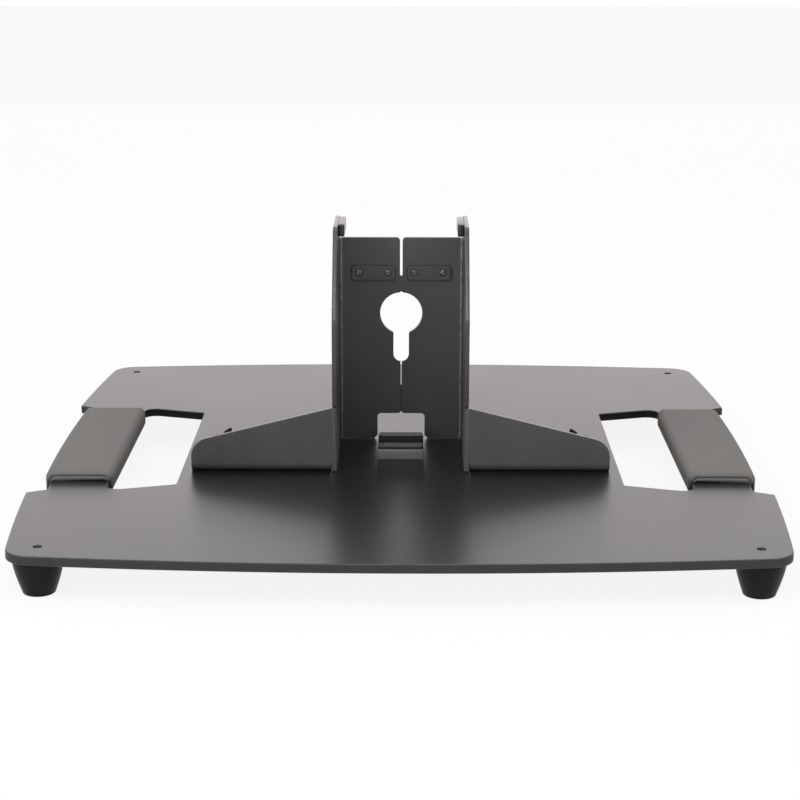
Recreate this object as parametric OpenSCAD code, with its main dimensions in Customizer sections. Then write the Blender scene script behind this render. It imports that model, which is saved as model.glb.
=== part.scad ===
/* [Base plate] */
// Width of the plate between the crests of its bulged side edges
plate_w = 500; // [470:5:560]
// Depth of the plate between the crests of its bulged front and rear edges
plate_d = 500; // [470:5:560]
// Thickness of the plate
plate_t = 6; // [4:0.5:9]
// Radius that the four bulged edges are drawn with
edge_r = 2100; // [1600:50:4000]
// Radius of the plate's corners
plate_corner_r = 18; // [10:1:28]

/* [Hand openings and straps] */
// How far the strap's outer edge is set in from the plate's side edge
strap_setback = 13.5; // [10:0.5:18]
// Width of the strap between the hand opening and the side notch
strap_w = 40.5; // [30:0.5:45]
// Width of the hand opening beside the strap
opening_w = 46; // [36:0.5:48]
// Length of the hand opening at its edge nearest the middle of the plate
opening_inner_l = 182.8; // [150:0.2:190]
// Length of the hand opening along the strap
opening_outer_l = 205; // [198:0.2:214]
// Width over which the opening widens from its short to its long edge
opening_taper_w = 36; // [24:0.5:36]
// Corner radius of the opening next to the strap
opening_outer_r = 8; // [4:0.5:9]
// Corner radius of the opening on its other side
opening_inner_r = 3; // [1:0.5:8]
// Length of the side notch at the strap
notch_l = 210.4; // [206:0.2:220]
// Angle of the notch's ends away from square
notch_lean = 27.2; // [15:0.1:40]

/* [Grips] */
// Length of the rubber grip
grip_l = 170; // [150:1:186]
// Rubber on the strap's inner edge
grip_inner_wall = 2.2; // [1.6:0.2:6]
// Rubber on the strap's outer edge
grip_outer_wall = 4; // [2.6:0.2:6]
// Rubber above the strap
grip_over = 6.2; // [5:0.2:9]
// Rubber below the strap
grip_under = 4; // [3:0.2:8]
// Radius of the grip's upper edges
grip_top_r = 4.6; // [2:0.2:5]
// Radius of the grip's lower edges
grip_bottom_r = 2.4; // [1:0.2:2.8]
// How far the grip's inner side leans in below the strap
grip_tuck = 2.4; // [1:0.2:3.6]
// Radius of the edges round the grip's two ends
grip_end_r = 2.4; // [1:0.2:3]

/* [Feet] */
// Height of a rubber foot
foot_h = 23; // [18:0.5:34]
// Diameter of the foot against the plate
foot_top_d = 32; // [26:0.5:40]
// Diameter of the foot on the floor
foot_floor_d = 19.6; // [18:0.2:25]
// Distance from a foot's axis to the crest of the plate's side edge
foot_inset_x = 31; // [29:0.5:37]
// Distance from a foot's axis to the crest of the plate's front or rear edge
foot_inset_y = 30; // [29:0.5:40]
// Depth of the screw recess in the foot
foot_recess = 10; // [8:0.5:14]
// Diameter of the screw recess
foot_recess_d = 12.4; // [12:0.2:14]
// Radius of the foot's bottom edge
foot_edge_r = 1.2; // [0.5:0.1:1.6]
// Diameter of the foot screw
foot_screw_d = 5; // [4:0.5:6]
// Thickness of the washer in the foot
foot_washer_t = 1.4; // [1:0.1:2]
// Outer diameter of that washer
foot_washer_d = 11.4; // [10:0.2:11.8]

/* [Brackets] */
// Thickness of the brackets' sheet
sheet_t = 3; // [2:0.5:4]
// Inner radius of the bends
bend_r = 2.7; // [1.5:0.1:4]
// Clear width between the two side plates
channel_w = 86.8; // [78:0.2:96]
// Depth from the front of the wings to the front of the rear panel
channel_d = 83.3; // [74:0.1:96]
// Distance of the wings' front face ahead of the plate's centre line
wing_front = 62; // [50:1:80]
// Gap between the plate and the lower edges of the panel and side plates
edge_clear = 0.6; // [0.5:0.1:2]
// Height of the side plates above the base plate
side_h = 163; // [155:0.5:190]
// Height at which the side plate's front edge starts to lean back
lean_start_h = 104; // [85:1:120]
// Angle of the leaning edge from the vertical
lean_angle = 29.7; // [15:0.1:32]
// Radius of the side plate's upper front corner
side_corner_r = 8; // [3:0.5:10]
// Reach of each wing from the middle of the stand
wing_reach = 143; // [130:1:146]
// Height of the wing where it leaves the side plate
wing_root_h = 45.5; // [38:0.5:60]
// Fall of the wing's sloping edge from the side plate to its outer end
wing_fall = 24.7; // [5:0.1:26]
// Radius of the wing's outer upper corner
wing_corner_r = 13; // [3:0.5:14]
// Depth of the foot flange behind the wing's front face
flange_d = 36; // [35:0.5:40]

/* [Rear panel] */
// Height of the panel above the base plate
panel_h = 147.6; // [142:0.2:153]
// Gap between the two halves of the panel where they all but meet
panel_seam = 0.4; // [0.4:0.1:0.8]
// Gap between the halves below the keyhole's slot
panel_gap = 0.9; // [0.9:0.1:2]
// Gap between the halves at the top of the panel
panel_top_gap = 1.8; // [1.8:0.1:3]
// Length of the gap below the slot
panel_gap_l = 18; // [14:0.5:24]
// Length of the gap at the top of the panel
panel_top_gap_l = 28; // [20:0.5:32]
// Height of the keyhole's centre
keyhole_h = 93; // [88:0.5:96]
// Diameter of the keyhole
keyhole_d = 30; // [24:0.5:34]
// Width of the keyhole's slot
slot_w = 11; // [8:0.5:14]
// Distance from the keyhole's centre to the centre of the slot's round end
slot_drop = 30; // [26:0.5:34]
// Width of the notch at the foot of the panel
foot_notch_w = 34; // [34:0.5:44]
// Height of that notch
foot_notch_h = 19; // [14:0.5:26]

/* [Pads] */
// Length of a screwed pad
pad_l = 31; // [28:0.5:34]
// Width of a screwed pad
pad_w = 10.5; // [8:0.5:12]
// Thickness of a screwed pad
pad_t = 1.6; // [1.4:0.1:3]
// Distance between a pad's two screws
pad_screw_pitch = 20.2; // [16:0.2:22]
// Height of the panel pads' centre line
pad_h = 122.3; // [118:0.1:128]
// Distance from the middle of the stand to a panel pad
pad_from_centre = 4.3; // [3:0.1:5]
// Diameter of the pad screws
pad_screw_d = 2.5; // [2:0.1:3]
// Diameter of the pad screws' heads
pad_head_d = 4.4; // [4:0.1:5]
// Thickness of the pads inside the top of the side plates
top_pad_t = 4.5; // [2:0.1:6]
// Height of those pads
top_pad_h = 8.5; // [6:0.1:10]
// Length of those pads
top_pad_l = 35; // [28:0.5:36]

/* [Bar rest] */
// Width of the bar rest
rest_w = 32; // [32:0.5:33.5]
// Height of the rest's ledges above the plate
rest_h = 7.4; // [6.4:0.1:10]
// Thickness of the rest's sheet
rest_t = 2.5; // [2:0.1:3]
// Distance from the wings' front face to the rest's front face
rest_back = 30; // [26:0.5:32]
// Depth of each ledge
ledge_d = 12; // [11.5:0.1:13]
// Width of the trough between the ledges
trough_w = 15.4; // [14:0.1:17]

/* [Wing bolts] */
// Diameter of the wing bolts' threaded shank
bolt_d = 6; // [5:0.5:8]
// Diameter of a wing bolt's hub
hub_d = 12; // [10:0.5:14]
// Height of the hub
hub_h = 8; // [6:0.5:9]
// Span over the two wings of a bolt
bolt_span = 27; // [24:0.5:30]
// Height of the bolt from its seat to the tips of its wings
bolt_h = 19.6; // [16:0.2:22]
// Thickness of the bolt's wings
bolt_wing_t = 2.2; // [2:0.1:3]
// Thickness of the washers below the wing bolts
washer_t = 1.4; // [1:0.1:2]
// Outer diameter of those washers
washer_d = 15; // [13:0.5:16]
// Distance from a wing's outer end to its outer bolt
bolt_end_inset = 19; // [16:0.5:24]
// Distance between the two bolts of a bracket
bolt_pitch = 52; // [40:0.5:54]
// Distance of the bolts behind the wing's front face
bolt_back = 22; // [21:0.5:23]

/* [Hidden] */
$fn = 48;
edge_steps = 24;
corner_steps = 6;
eps = 0.01;
running_gap = 0.05;
screw_gap = 0.1;
deck_z = foot_h + plate_t;
half_w = plate_w / 2;
half_d = plate_d / 2;
foot_x = half_w - foot_inset_x;
foot_y = half_d - foot_inset_y;
foot_curve = 1.4;
foot_bore_gap = 0.3;
foot_head_d = 9.2;
foot_head_h = 2.8;
strap_outer = half_w - strap_setback;
strap_inner = strap_outer - strap_w;
opening_inner = strap_inner - opening_w;
grip_inner = strap_inner - grip_inner_wall;
grip_outer = strap_outer + grip_outer_wall;
grip_top = deck_z + grip_over;
bend_outer_r = bend_r + sheet_t;
channel_half = channel_w / 2;
side_outer = channel_half + sheet_t;
wing_y = -wing_front;
bend_front_y = wing_y + bend_outer_r;
panel_y = wing_y + channel_d;
bend_rear_y = panel_y - bend_r;
panel_back_y = panel_y + sheet_t;
panel_flat_x = channel_half - bend_r;
wing_flat_x = side_outer + bend_r;
bend_relief = 0.8;
flange_x = wing_flat_x + 2 * bend_relief;
flange_corner_r = 4;
panel_corner_r = 2.5;
notch_flare = 2.4;
gap_chamfer = 1.6;
gap_taper_h = 1;
side_rear_r = 2;
low_z = deck_z + edge_clear;
wing_slope = wing_fall / (wing_reach - side_outer);
bolt_y = wing_y + bolt_back;
bolt_seat_z = deck_z + sheet_t + washer_t;
bolt_hole_gap = 0.3;
bolt_below = 2;
bolt_chamfer = 0.8;
bolt_lobe_r = 5.5;
bolt_web_angle = 37;
bolt_web_x = 1;
bolt_web_inset = 0.4;
hub_taper = 1.5;
bolt_outer_x = wing_reach - bolt_end_inset;
bolt_inner_x = bolt_outer_x - bolt_pitch;
pad_x = pad_from_centre + pad_l / 2;
pad_corner_r = 2;
pad_head_h = 1;
top_pad_gap = 2.3;
top_pad_y = panel_y - top_pad_gap - top_pad_l;
top_pad_edge_r = 1;
rest_y = wing_y + rest_back;
rest_d = 2 * ledge_d + trough_w;
rest_corner_r = 2;
ledge_margin = (ledge_d - pad_w) / 2;
front_pad_y = rest_y + ledge_margin + pad_w / 2;
rear_pad_y = rest_y + rest_d - ledge_margin - pad_w / 2;
trough_lean = 3;
trough_r = 1;
rest_screw_d = 4;
rest_screw_pitch = 18;
rest_head_d = 7;
rest_head_h = 2.4;
rest_screw_y = rest_y + rest_d / 2;
plate_color = [0.33, 0.32, 0.32];
bracket_color = [0.2, 0.2, 0.21];
rest_color = [0.3, 0.3, 0.31];
grip_color = [0.5, 0.48, 0.47];
foot_color = [0.12, 0.12, 0.12];
pad_color = [0.16, 0.16, 0.17];
screw_color = [0.22, 0.22, 0.23];

// Direction from one point to another as a vector of length 1
function toward(a, b) = (b - a) / norm(b - a);

// Shortest turn from angle a to angle b
function turn(a, b) = (b - a) - 360 * round((b - a) / 360);

// Points of the arc of radius r that rounds corner b between a and c
function corner_arc(a, b, c, r, steps) =
    let (to_a = toward(b, a), to_c = toward(b, c))
    let (half = acos(to_a * to_c) / 2)
    let (centre = b + (to_a + to_c) / norm(to_a + to_c) * r / sin(half))
    let (first = b + to_a * r / tan(half) - centre, last = b + to_c * r / tan(half) - centre)
    let (from = atan2(first.y, first.x), sweep = turn(from, atan2(last.y, last.x)))
    [for (i = [0:steps]) centre + r * [cos(from + sweep * i / steps), sin(from + sweep * i / steps)]];

// Outline through corners given as [x, y, radius], with radius 0 for a sharp one
function rounded(corners, steps = corner_steps) =
    let (n = len(corners))
    let (at = function (i) let (c = corners[(i + n) % n]) [c.x, c.y])
    [for (i = [0:n - 1]) each corners[i].z > 0
        ? corner_arc(at(i - 1), at(i), at(i + 1), corners[i].z, steps)
        : [at(i)]];

// How far the bulged edge falls back from its crest at a distance s along it
function sag(s) = edge_r - sqrt(edge_r * edge_r - s * s);

// Centre of a plate corner, the same distance from two neighbouring edge arcs
function corner_centre() =
    let (a = edge_r - half_w, b = edge_r - half_d, reach = edge_r - plate_corner_r)
    let (d = norm([a, b]), h = sqrt(reach * reach - d * d / 4))
    [-a / 2 + h * b / d, -b / 2 + h * a / d];

// One quarter of the plate's outline, from the side crest to the rear crest
function quarter() =
    let (c = corner_centre(), side = edge_r - half_w, rear = edge_r - half_d)
    let (a1 = atan2(c.y, c.x + side), a2 = atan2(c.y + rear, c.x), n = edge_steps / 2)
    concat(
        [for (i = [0:n - 1]) [edge_r * cos(a1 * i / n) - side, edge_r * sin(a1 * i / n)]],
        [for (i = [0:corner_steps]) let (a = a1 + (a2 - a1) * i / corner_steps)
            c + plate_corner_r * [cos(a), sin(a)]],
        [for (i = [1:n]) let (a = a2 + (90 - a2) * i / n) [edge_r * cos(a), edge_r * sin(a) - rear]]
    );

function flipped_x(points) = [for (i = [len(points) - 1:-1:0]) [-points[i].x, points[i].y]];
function flipped_y(points) = [for (i = [len(points) - 1:-1:0]) [points[i].x, -points[i].y]];
function without_ends(points) = [for (i = [1:len(points) - 2]) points[i]];

// Full outline of the plate before its notches are cut
function plate_outline() =
    let (upper = concat(quarter(), without_ends(flipped_x(quarter())), [[-half_w, 0]]))
    concat(upper, without_ends(flipped_y(upper)));

// Radius of the foot at height z, a taper that swells towards the plate
function foot_r(z) = foot_top_d / 2 - (foot_top_d - foot_floor_d) / 2 * pow(1 - z / foot_h, foot_curve);

// Extrudes a drawing in X and Z through the depth from y0 to y1
module along_y(y0, y1) {
    translate([0, y1, 0]) rotate([90, 0, 0]) linear_extrude(y1 - y0) children();
}

// Extrudes a drawing in Y and Z through the width from x0 to x1
module along_x(x0, x1) {
    translate([x0, 0, 0]) rotate([90, 0, 90]) linear_extrude(x1 - x0) children();
}

// Puts children at each foot's axis
module at_feet() {
    for (x = [-foot_x, foot_x])
        for (y = [-foot_y, foot_y])
            translate([x, y, 0]) children();
}

// Puts children at each wing bolt's axis
module at_bolts() {
    for (x = [-bolt_outer_x, -bolt_inner_x, bolt_inner_x, bolt_outer_x])
        translate([x, bolt_y, 0]) children();
}

// Puts children at both screws that hold the bar rest
module at_rest_screws() {
    for (x = [-rest_screw_pitch / 2, rest_screw_pitch / 2])
        translate([x, rest_screw_y, 0]) children();
}

// Curved outer edge of the strap, drawn as a large disc
module strap_disc(grow = 0) {
    translate([half_w - edge_r, 0]) circle(r = edge_r - strap_setback + grow, $fn = 720);
}

module side_notch_2d() {
    far = half_w + strap_setback;
    root = strap_outer - sag(notch_l / 2);
    rise = (far - root) * tan(notch_lean);
    difference() {
        polygon([
            [far, notch_l / 2 + rise], [root, notch_l / 2], [root, -notch_l / 2], [far, -notch_l / 2 - rise]
        ]);
        strap_disc();
    }
}

module hand_opening_2d() {
    taper_x = opening_inner + opening_taper_w;
    polygon(rounded([
        [opening_inner, -opening_inner_l / 2, opening_inner_r],
        [taper_x, -opening_outer_l / 2, 0],
        [strap_inner, -opening_outer_l / 2, opening_outer_r],
        [strap_inner, opening_outer_l / 2, opening_outer_r],
        [taper_x, opening_outer_l / 2, 0],
        [opening_inner, opening_inner_l / 2, opening_inner_r]
    ]));
}

module base_plate() {
    color(plate_color) difference() {
        translate([0, 0, foot_h]) linear_extrude(plate_t) polygon(plate_outline());
        for (side = [0, 1]) mirror([side, 0, 0]) {
            translate([0, 0, foot_h - 1]) linear_extrude(plate_t + 2) side_notch_2d();
            translate([0, 0, foot_h - 1]) linear_extrude(plate_t + 2) hand_opening_2d();
        }
        at_feet() cylinder(d = foot_screw_d + 2 * running_gap, h = deck_z + 1);
        at_bolts() cylinder(d = bolt_d + 2 * running_gap, h = deck_z + 1);
        at_rest_screws() cylinder(d = rest_screw_d + 2 * screw_gap, h = deck_z + 1);
    }
}

// Section of the grip in X and Z between an inner and an outer side
module grip_section(inner, outer) {
    bottom = foot_h - grip_under;
    polygon(rounded([
        [inner, grip_top, grip_top_r], [inner, foot_h, 0], [inner + grip_tuck, bottom, grip_bottom_r],
        [outer, bottom, grip_bottom_r], [outer, grip_top, grip_top_r]
    ]));
}

// Plan of the grip, whose outer side stays clear of its curved face between the rounded ends
module grip_plan_2d() {
    half = grip_l / 2;
    end_outer = grip_outer - sag(half);
    clear_outer = grip_outer + sag(half) + 1;
    polygon(rounded([
        [grip_inner, -half, grip_end_r], [end_outer, -half, grip_end_r], [clear_outer, 0, 0],
        [end_outer, half, grip_end_r], [grip_inner, half, grip_end_r]
    ]));
}

// Side view of the grip in Y and Z, with its upper corners rounded
module grip_side_2d() {
    half = grip_l / 2;
    bottom = foot_h - grip_under;
    polygon(rounded([
        [-half, bottom, 0], [half, bottom, 0], [half, grip_top, grip_end_r], [-half, grip_top, grip_end_r]
    ]));
}

module right_grip_body() {
    centre = half_w - edge_r;
    half = grip_l / 2;
    sweep = 2 * asin(half / (edge_r - strap_setback)) + 1;
    difference() {
        intersection() {
            along_y(-half, half) grip_section(grip_inner, grip_outer + strap_setback);
            translate([centre, 0, 0]) rotate([0, 0, -sweep / 2])
                rotate_extrude(angle = sweep, $fn = 720)
                    translate([-centre, 0]) grip_section(grip_inner - strap_w / 2, grip_outer);
            linear_extrude(grip_top) grip_plan_2d();
            along_x(grip_inner - grip_end_r, grip_outer + grip_end_r) grip_side_2d();
        }
        translate([0, 0, foot_h]) linear_extrude(plate_t) intersection() {
            strap_disc();
            translate([strap_inner, -half - 1]) square([strap_w + grip_outer_wall, grip_l + 2]);
        }
    }
}

module right_grip() { color(grip_color) right_grip_body(); }
module left_grip() { color(grip_color) mirror([1, 0, 0]) right_grip_body(); }

module foot(x, y) {
    steps = 10;
    recess_r = foot_recess_d / 2;
    floor_z = foot_edge_r;
    side = [for (i = [0:steps]) let (z = floor_z + (foot_h - floor_z) * i / steps) [foot_r(z), z]];
    edge = foot_r(floor_z);
    color(foot_color) translate([x, y, 0]) difference() {
        rotate_extrude($fn = 64) polygon(concat(
            [[0, 0], [edge - foot_edge_r, 0]],
            [for (a = [22.5:22.5:67.5]) [edge - foot_edge_r * (1 - sin(a)), foot_edge_r * (1 - cos(a))]],
            side, [[0, foot_h]]
        ));
        translate([0, 0, -1]) cylinder(r = recess_r, h = foot_recess + 1);
        cylinder(d = foot_screw_d + 2 * foot_bore_gap, h = foot_h + 1);
    }
}

module foot_front_left() { foot(-foot_x, -foot_y); }
module foot_front_right() { foot(foot_x, -foot_y); }
module foot_rear_left() { foot(-foot_x, foot_y); }
module foot_rear_right() { foot(foot_x, foot_y); }

module foot_washers() {
    color(screw_color) at_feet() translate([0, 0, foot_recess - foot_washer_t]) difference() {
        cylinder(d = foot_washer_d, h = foot_washer_t);
        translate([0, 0, -1]) cylinder(d = foot_screw_d + 2 * screw_gap, h = foot_washer_t + 2);
    }
}

// A screw standing on its head at z = 0 with its shank pointing up
module screw(head_d, head_h, shank_d, shank_l) {
    translate([0, 0, -head_h]) cylinder(d = head_d, h = head_h);
    translate([0, 0, -eps]) cylinder(d = shank_d, h = shank_l + eps);
}

module foot_screws() {
    seat = foot_recess - foot_washer_t;
    color(screw_color) at_feet() translate([0, 0, seat])
        screw(foot_head_d, foot_head_h, foot_screw_d, deck_z - seat);
}

// Quarter of a bent sheet, with its centre of curvature at the origin
module bend_2d() {
    intersection() {
        difference() {
            circle(r = bend_outer_r);
            circle(r = bend_r);
        }
        square(bend_outer_r + 1);
    }
}

// The flat side plate of the right bracket, in Y and Z
module side_plate_2d() {
    top = deck_z + side_h;
    lean_z = deck_z + lean_start_h;
    lean_y = wing_y + (top - lean_z) * tan(lean_angle);
    root = deck_z + wing_root_h + bend_relief;
    difference() {
        polygon(rounded([
            [wing_y, low_z, 0], [wing_y, lean_z, 0], [lean_y, top, side_corner_r],
            [panel_back_y, top, side_rear_r], [panel_back_y, low_z, 0]
        ]));
        translate([wing_y - 1, low_z - 1]) square([bend_outer_r + 1, root - low_z + 1]);
        translate([bend_rear_y, low_z - 1])
            square([bend_outer_r + 1, panel_h - edge_clear + bend_relief + 1]);
    }
}

// The wing of the right bracket, in X and Z, above its bend to the flange
module wing_2d() {
    root = deck_z + wing_root_h - (wing_flat_x - side_outer) * wing_slope;
    tip = deck_z + wing_root_h - wing_fall;
    bend_z = deck_z + bend_outer_r;
    relief_x = flange_x - bend_relief;
    polygon(rounded([
        [wing_flat_x, low_z, 0], [wing_flat_x, root, 0], [wing_reach, tip, wing_corner_r],
        [wing_reach, bend_z, 0], [flange_x, bend_z, 0], [relief_x, bend_z, 0], [relief_x, low_z, 0]
    ]));
}

// The right half of the rear panel, in X and Z
module panel_2d() {
    top = deck_z + panel_h;
    key_z = deck_z + keyhole_h;
    gap_foot = key_z - slot_drop - slot_w / 2 - panel_gap_l;
    top_gap_foot = top - panel_top_gap_l;
    notch_top = deck_z + foot_notch_h;
    notch_x = foot_notch_w / 2;
    seam_x = panel_seam / 2;
    polygon(rounded([
        [seam_x, notch_top + gap_chamfer, 0], [seam_x, gap_foot, 0],
        [panel_gap / 2, gap_foot + gap_taper_h, 0], [panel_gap / 2, key_z, 0], [seam_x, key_z, 0],
        [seam_x, top_gap_foot, 0], [panel_top_gap / 2, top_gap_foot + gap_taper_h, 0],
        [panel_top_gap / 2, top, panel_corner_r], [panel_flat_x, top, 0], [panel_flat_x, low_z, 0],
        [notch_x + notch_flare, low_z, 0], [notch_x, low_z + notch_flare, 0],
        [notch_x, notch_top, panel_corner_r], [seam_x + gap_chamfer, notch_top, 0]
    ]));
}

module flange_2d() {
    rear = wing_y + flange_d;
    polygon(rounded([
        [flange_x, bend_front_y, 0], [wing_reach, bend_front_y, 0],
        [wing_reach, rear, flange_corner_r], [flange_x, rear, flange_corner_r]
    ]));
}

// Both screw holes of a panel pad, bored through the depth from y0 to y1
module panel_pad_holes(d, y0, y1) {
    for (x = [pad_x - pad_screw_pitch / 2, pad_x + pad_screw_pitch / 2])
        translate([x, y1, deck_z + pad_h]) rotate([90, 0, 0]) cylinder(d = d, h = y1 - y0);
}

module right_bracket_body() {
    root = deck_z + wing_root_h - (wing_flat_x - side_outer) * wing_slope;
    key_z = deck_z + keyhole_h;
    difference() {
        union() {
            along_x(channel_half, side_outer) side_plate_2d();
            translate([panel_flat_x, bend_rear_y, low_z])
                linear_extrude(panel_h - edge_clear) bend_2d();
            along_y(panel_y, panel_back_y) panel_2d();
            translate([wing_flat_x, bend_front_y, low_z]) rotate([0, 0, 180])
                linear_extrude(root - low_z) bend_2d();
            along_y(wing_y, wing_y + sheet_t) wing_2d();
            translate([0, bend_front_y, deck_z + bend_outer_r])
                along_x(flange_x, wing_reach) rotate(180) bend_2d();
            translate([0, 0, deck_z]) linear_extrude(sheet_t) flange_2d();
        }
        translate([0, panel_back_y + 1, key_z]) rotate([90, 0, 0]) cylinder(d = keyhole_d, h = sheet_t + 2);
        translate([0, panel_back_y + 1, key_z - slot_drop]) rotate([90, 0, 0])
            cylinder(d = slot_w, h = sheet_t + 2);
        translate([-slot_w / 2, panel_y - 1, key_z - slot_drop]) cube([slot_w, sheet_t + 2, slot_drop]);
        panel_pad_holes(pad_screw_d + 2 * screw_gap, panel_y - 1, panel_back_y + 1);
        for (x = [bolt_inner_x, bolt_outer_x]) translate([x, bolt_y, deck_z - 1])
            cylinder(d = bolt_d + 2 * bolt_hole_gap, h = sheet_t + 2);
    }
}

module right_bracket() { color(bracket_color) right_bracket_body(); }
module left_bracket() { color(bracket_color) mirror([1, 0, 0]) right_bracket_body(); }

// Outline of a screwed pad about its own centre
module pad_2d() {
    x = pad_l / 2;
    y = pad_w / 2;
    polygon(rounded([
        [-x, -y, pad_corner_r], [x, -y, pad_corner_r], [x, y, pad_corner_r], [-x, y, pad_corner_r]
    ]));
}

// A screwed pad lying on z = 0 with its two heads sunk in its upper face
module pad() {
    difference() {
        linear_extrude(pad_t) pad_2d();
        for (x = [-pad_screw_pitch / 2, pad_screw_pitch / 2]) translate([x, 0, 0]) {
            translate([0, 0, -1]) cylinder(d = pad_screw_d + 2 * screw_gap, h = pad_t + 2);
            translate([0, 0, pad_t - pad_head_h]) cylinder(d = pad_head_d + 2 * screw_gap, h = pad_head_h + 1);
        }
    }
}

// The two screws of a pad, through the pad and the sheet of thickness t below it
module pad_screws(t) {
    for (x = [-pad_screw_pitch / 2, pad_screw_pitch / 2])
        translate([x, 0, pad_t - pad_head_h]) rotate([180, 0, 0])
            screw(pad_head_d, pad_head_h, pad_screw_d, t + pad_t - pad_head_h);
}

// Puts a pad's drawing on the panel's front face at its right or left place
module on_panel(side) {
    translate([side * pad_x, panel_y, deck_z + pad_h]) rotate([90, 0, 0]) children();
}

module right_panel_pad() { color(pad_color) on_panel(1) pad(); }
module left_panel_pad() { color(pad_color) on_panel(-1) pad(); }

module panel_pad_screws() {
    color(screw_color) for (side = [-1, 1]) on_panel(side) pad_screws(sheet_t);
}

module right_top_pad_body() {
    top = deck_z + side_h;
    along_y(top_pad_y, top_pad_y + top_pad_l) polygon(rounded([
        [channel_half - top_pad_t, top - top_pad_h, top_pad_edge_r],
        [channel_half, top - top_pad_h, 0], [channel_half, top, 0],
        [channel_half - top_pad_t, top, top_pad_edge_r]
    ]));
}

module right_top_pad() { color(pad_color) right_top_pad_body(); }
module left_top_pad() { color(pad_color) mirror([1, 0, 0]) right_top_pad_body(); }

// Section of the bar rest in Y and Z: two ledges with a trough between them
module rest_section() {
    top = deck_z + rest_h;
    under = top - rest_t;
    sole = deck_z + rest_t;
    y0 = rest_y;
    y1 = rest_y + ledge_d;
    y2 = y1 + trough_w;
    y3 = rest_y + rest_d;
    polygon(rounded([
        [y0, deck_z, 0], [y0, top, rest_corner_r], [y1, top, trough_r], [y1 + trough_lean, sole, trough_r],
        [y2 - trough_lean, sole, trough_r], [y2, top, trough_r], [y3, top, rest_corner_r], [y3, deck_z, 0],
        [y3 - rest_t, deck_z, 0], [y3 - rest_t, under, 0], [y2 + rest_t / 2, under, 0],
        [y2 - trough_lean + rest_t / 2, deck_z, 0], [y1 + trough_lean - rest_t / 2, deck_z, 0],
        [y1 - rest_t / 2, under, 0], [y0 + rest_t, under, 0], [y0 + rest_t, deck_z, 0]
    ]));
}

module bar_rest() {
    top = deck_z + rest_h;
    color(rest_color) difference() {
        along_x(-rest_w / 2, rest_w / 2) rest_section();
        for (y = [front_pad_y, rear_pad_y])
            for (x = [-pad_screw_pitch / 2, pad_screw_pitch / 2])
                translate([x, y, top - rest_t - 1]) cylinder(d = pad_screw_d + 2 * screw_gap, h = rest_t + 2);
        at_rest_screws() translate([0, 0, deck_z - 1]) cylinder(d = rest_screw_d + 2 * screw_gap, h = rest_t + 2);
    }
}

module front_rest_pad() { color(pad_color) translate([0, front_pad_y, deck_z + rest_h]) pad(); }
module rear_rest_pad() { color(pad_color) translate([0, rear_pad_y, deck_z + rest_h]) pad(); }

module rest_pad_screws() {
    color(screw_color) for (y = [front_pad_y, rear_pad_y])
        translate([0, y, deck_z + rest_h]) pad_screws(rest_t);
}

module bar_rest_screws() {
    color(screw_color) at_rest_screws() translate([0, 0, foot_h])
        screw(rest_head_d, rest_head_h, rest_screw_d, plate_t + rest_t);
}

module wing_bolt_washers() {
    color(screw_color) at_bolts() translate([0, 0, deck_z + sheet_t]) difference() {
        cylinder(d = washer_d, h = washer_t);
        translate([0, 0, -1]) cylinder(d = bolt_d + 2 * bolt_hole_gap, h = washer_t + 2);
    }
}

// The two wings of a bolt, in its own X and Z above its seat
module bolt_wings_2d() {
    lobe = [bolt_span / 2 - bolt_lobe_r, bolt_h - bolt_lobe_r];
    reach = bolt_lobe_r * [cos(bolt_web_angle), -sin(bolt_web_angle)];
    for (side = [0, 1]) mirror([side, 0]) {
        translate(lobe) circle(r = bolt_lobe_r);
        polygon([
            [bolt_web_x, hub_h - bolt_web_x], lobe - reach, lobe + reach,
            [hub_d / 2 - bolt_web_inset, bolt_web_x], [bolt_web_x, bolt_web_x]
        ]);
    }
}

// A wing bolt at x, with its wings turned by an angle about its axis
module wing_bolt(x, angle) {
    seat = bolt_seat_z;
    end = foot_h - bolt_below;
    color(screw_color) translate([x, bolt_y, 0]) rotate([0, 0, angle]) {
        rotate_extrude() polygon([
            [0, end], [bolt_d / 2 - bolt_chamfer, end], [bolt_d / 2, end + bolt_chamfer], [bolt_d / 2, seat],
            [hub_d / 2, seat], [hub_d / 2 - hub_taper, seat + hub_h], [0, seat + hub_h]
        ]);
        translate([0, 0, seat]) along_y(-bolt_wing_t / 2, bolt_wing_t / 2) bolt_wings_2d();
    }
}

module wing_bolt_left_outer() { wing_bolt(-bolt_outer_x, 64); }
module wing_bolt_left_inner() { wing_bolt(-bolt_inner_x, 160); }
module wing_bolt_right_inner() { wing_bolt(bolt_inner_x, 35); }
module wing_bolt_right_outer() { wing_bolt(bolt_outer_x, 116); }

base_plate();
left_bracket();
right_bracket();
left_grip();
right_grip();
foot_front_left();
foot_front_right();
foot_rear_left();
foot_rear_right();
foot_washers();
foot_screws();
wing_bolt_left_outer();
wing_bolt_left_inner();
wing_bolt_right_inner();
wing_bolt_right_outer();
wing_bolt_washers();
left_panel_pad();
right_panel_pad();
panel_pad_screws();
left_top_pad();
right_top_pad();
bar_rest();
front_rest_pad();
rear_rest_pad();
rest_pad_screws();
bar_rest_screws();
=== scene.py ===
"""Dresses the light bar floor stand: folded sheet, powder coat, rubber grips and feet, pads and wing bolts."""

import logging
import math
from dataclasses import dataclass, field
from enum import Enum

import bpy
import numpy as np
from mathutils import Matrix, Vector
from mathutils.geometry import delaunay_2d_cdt


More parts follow.
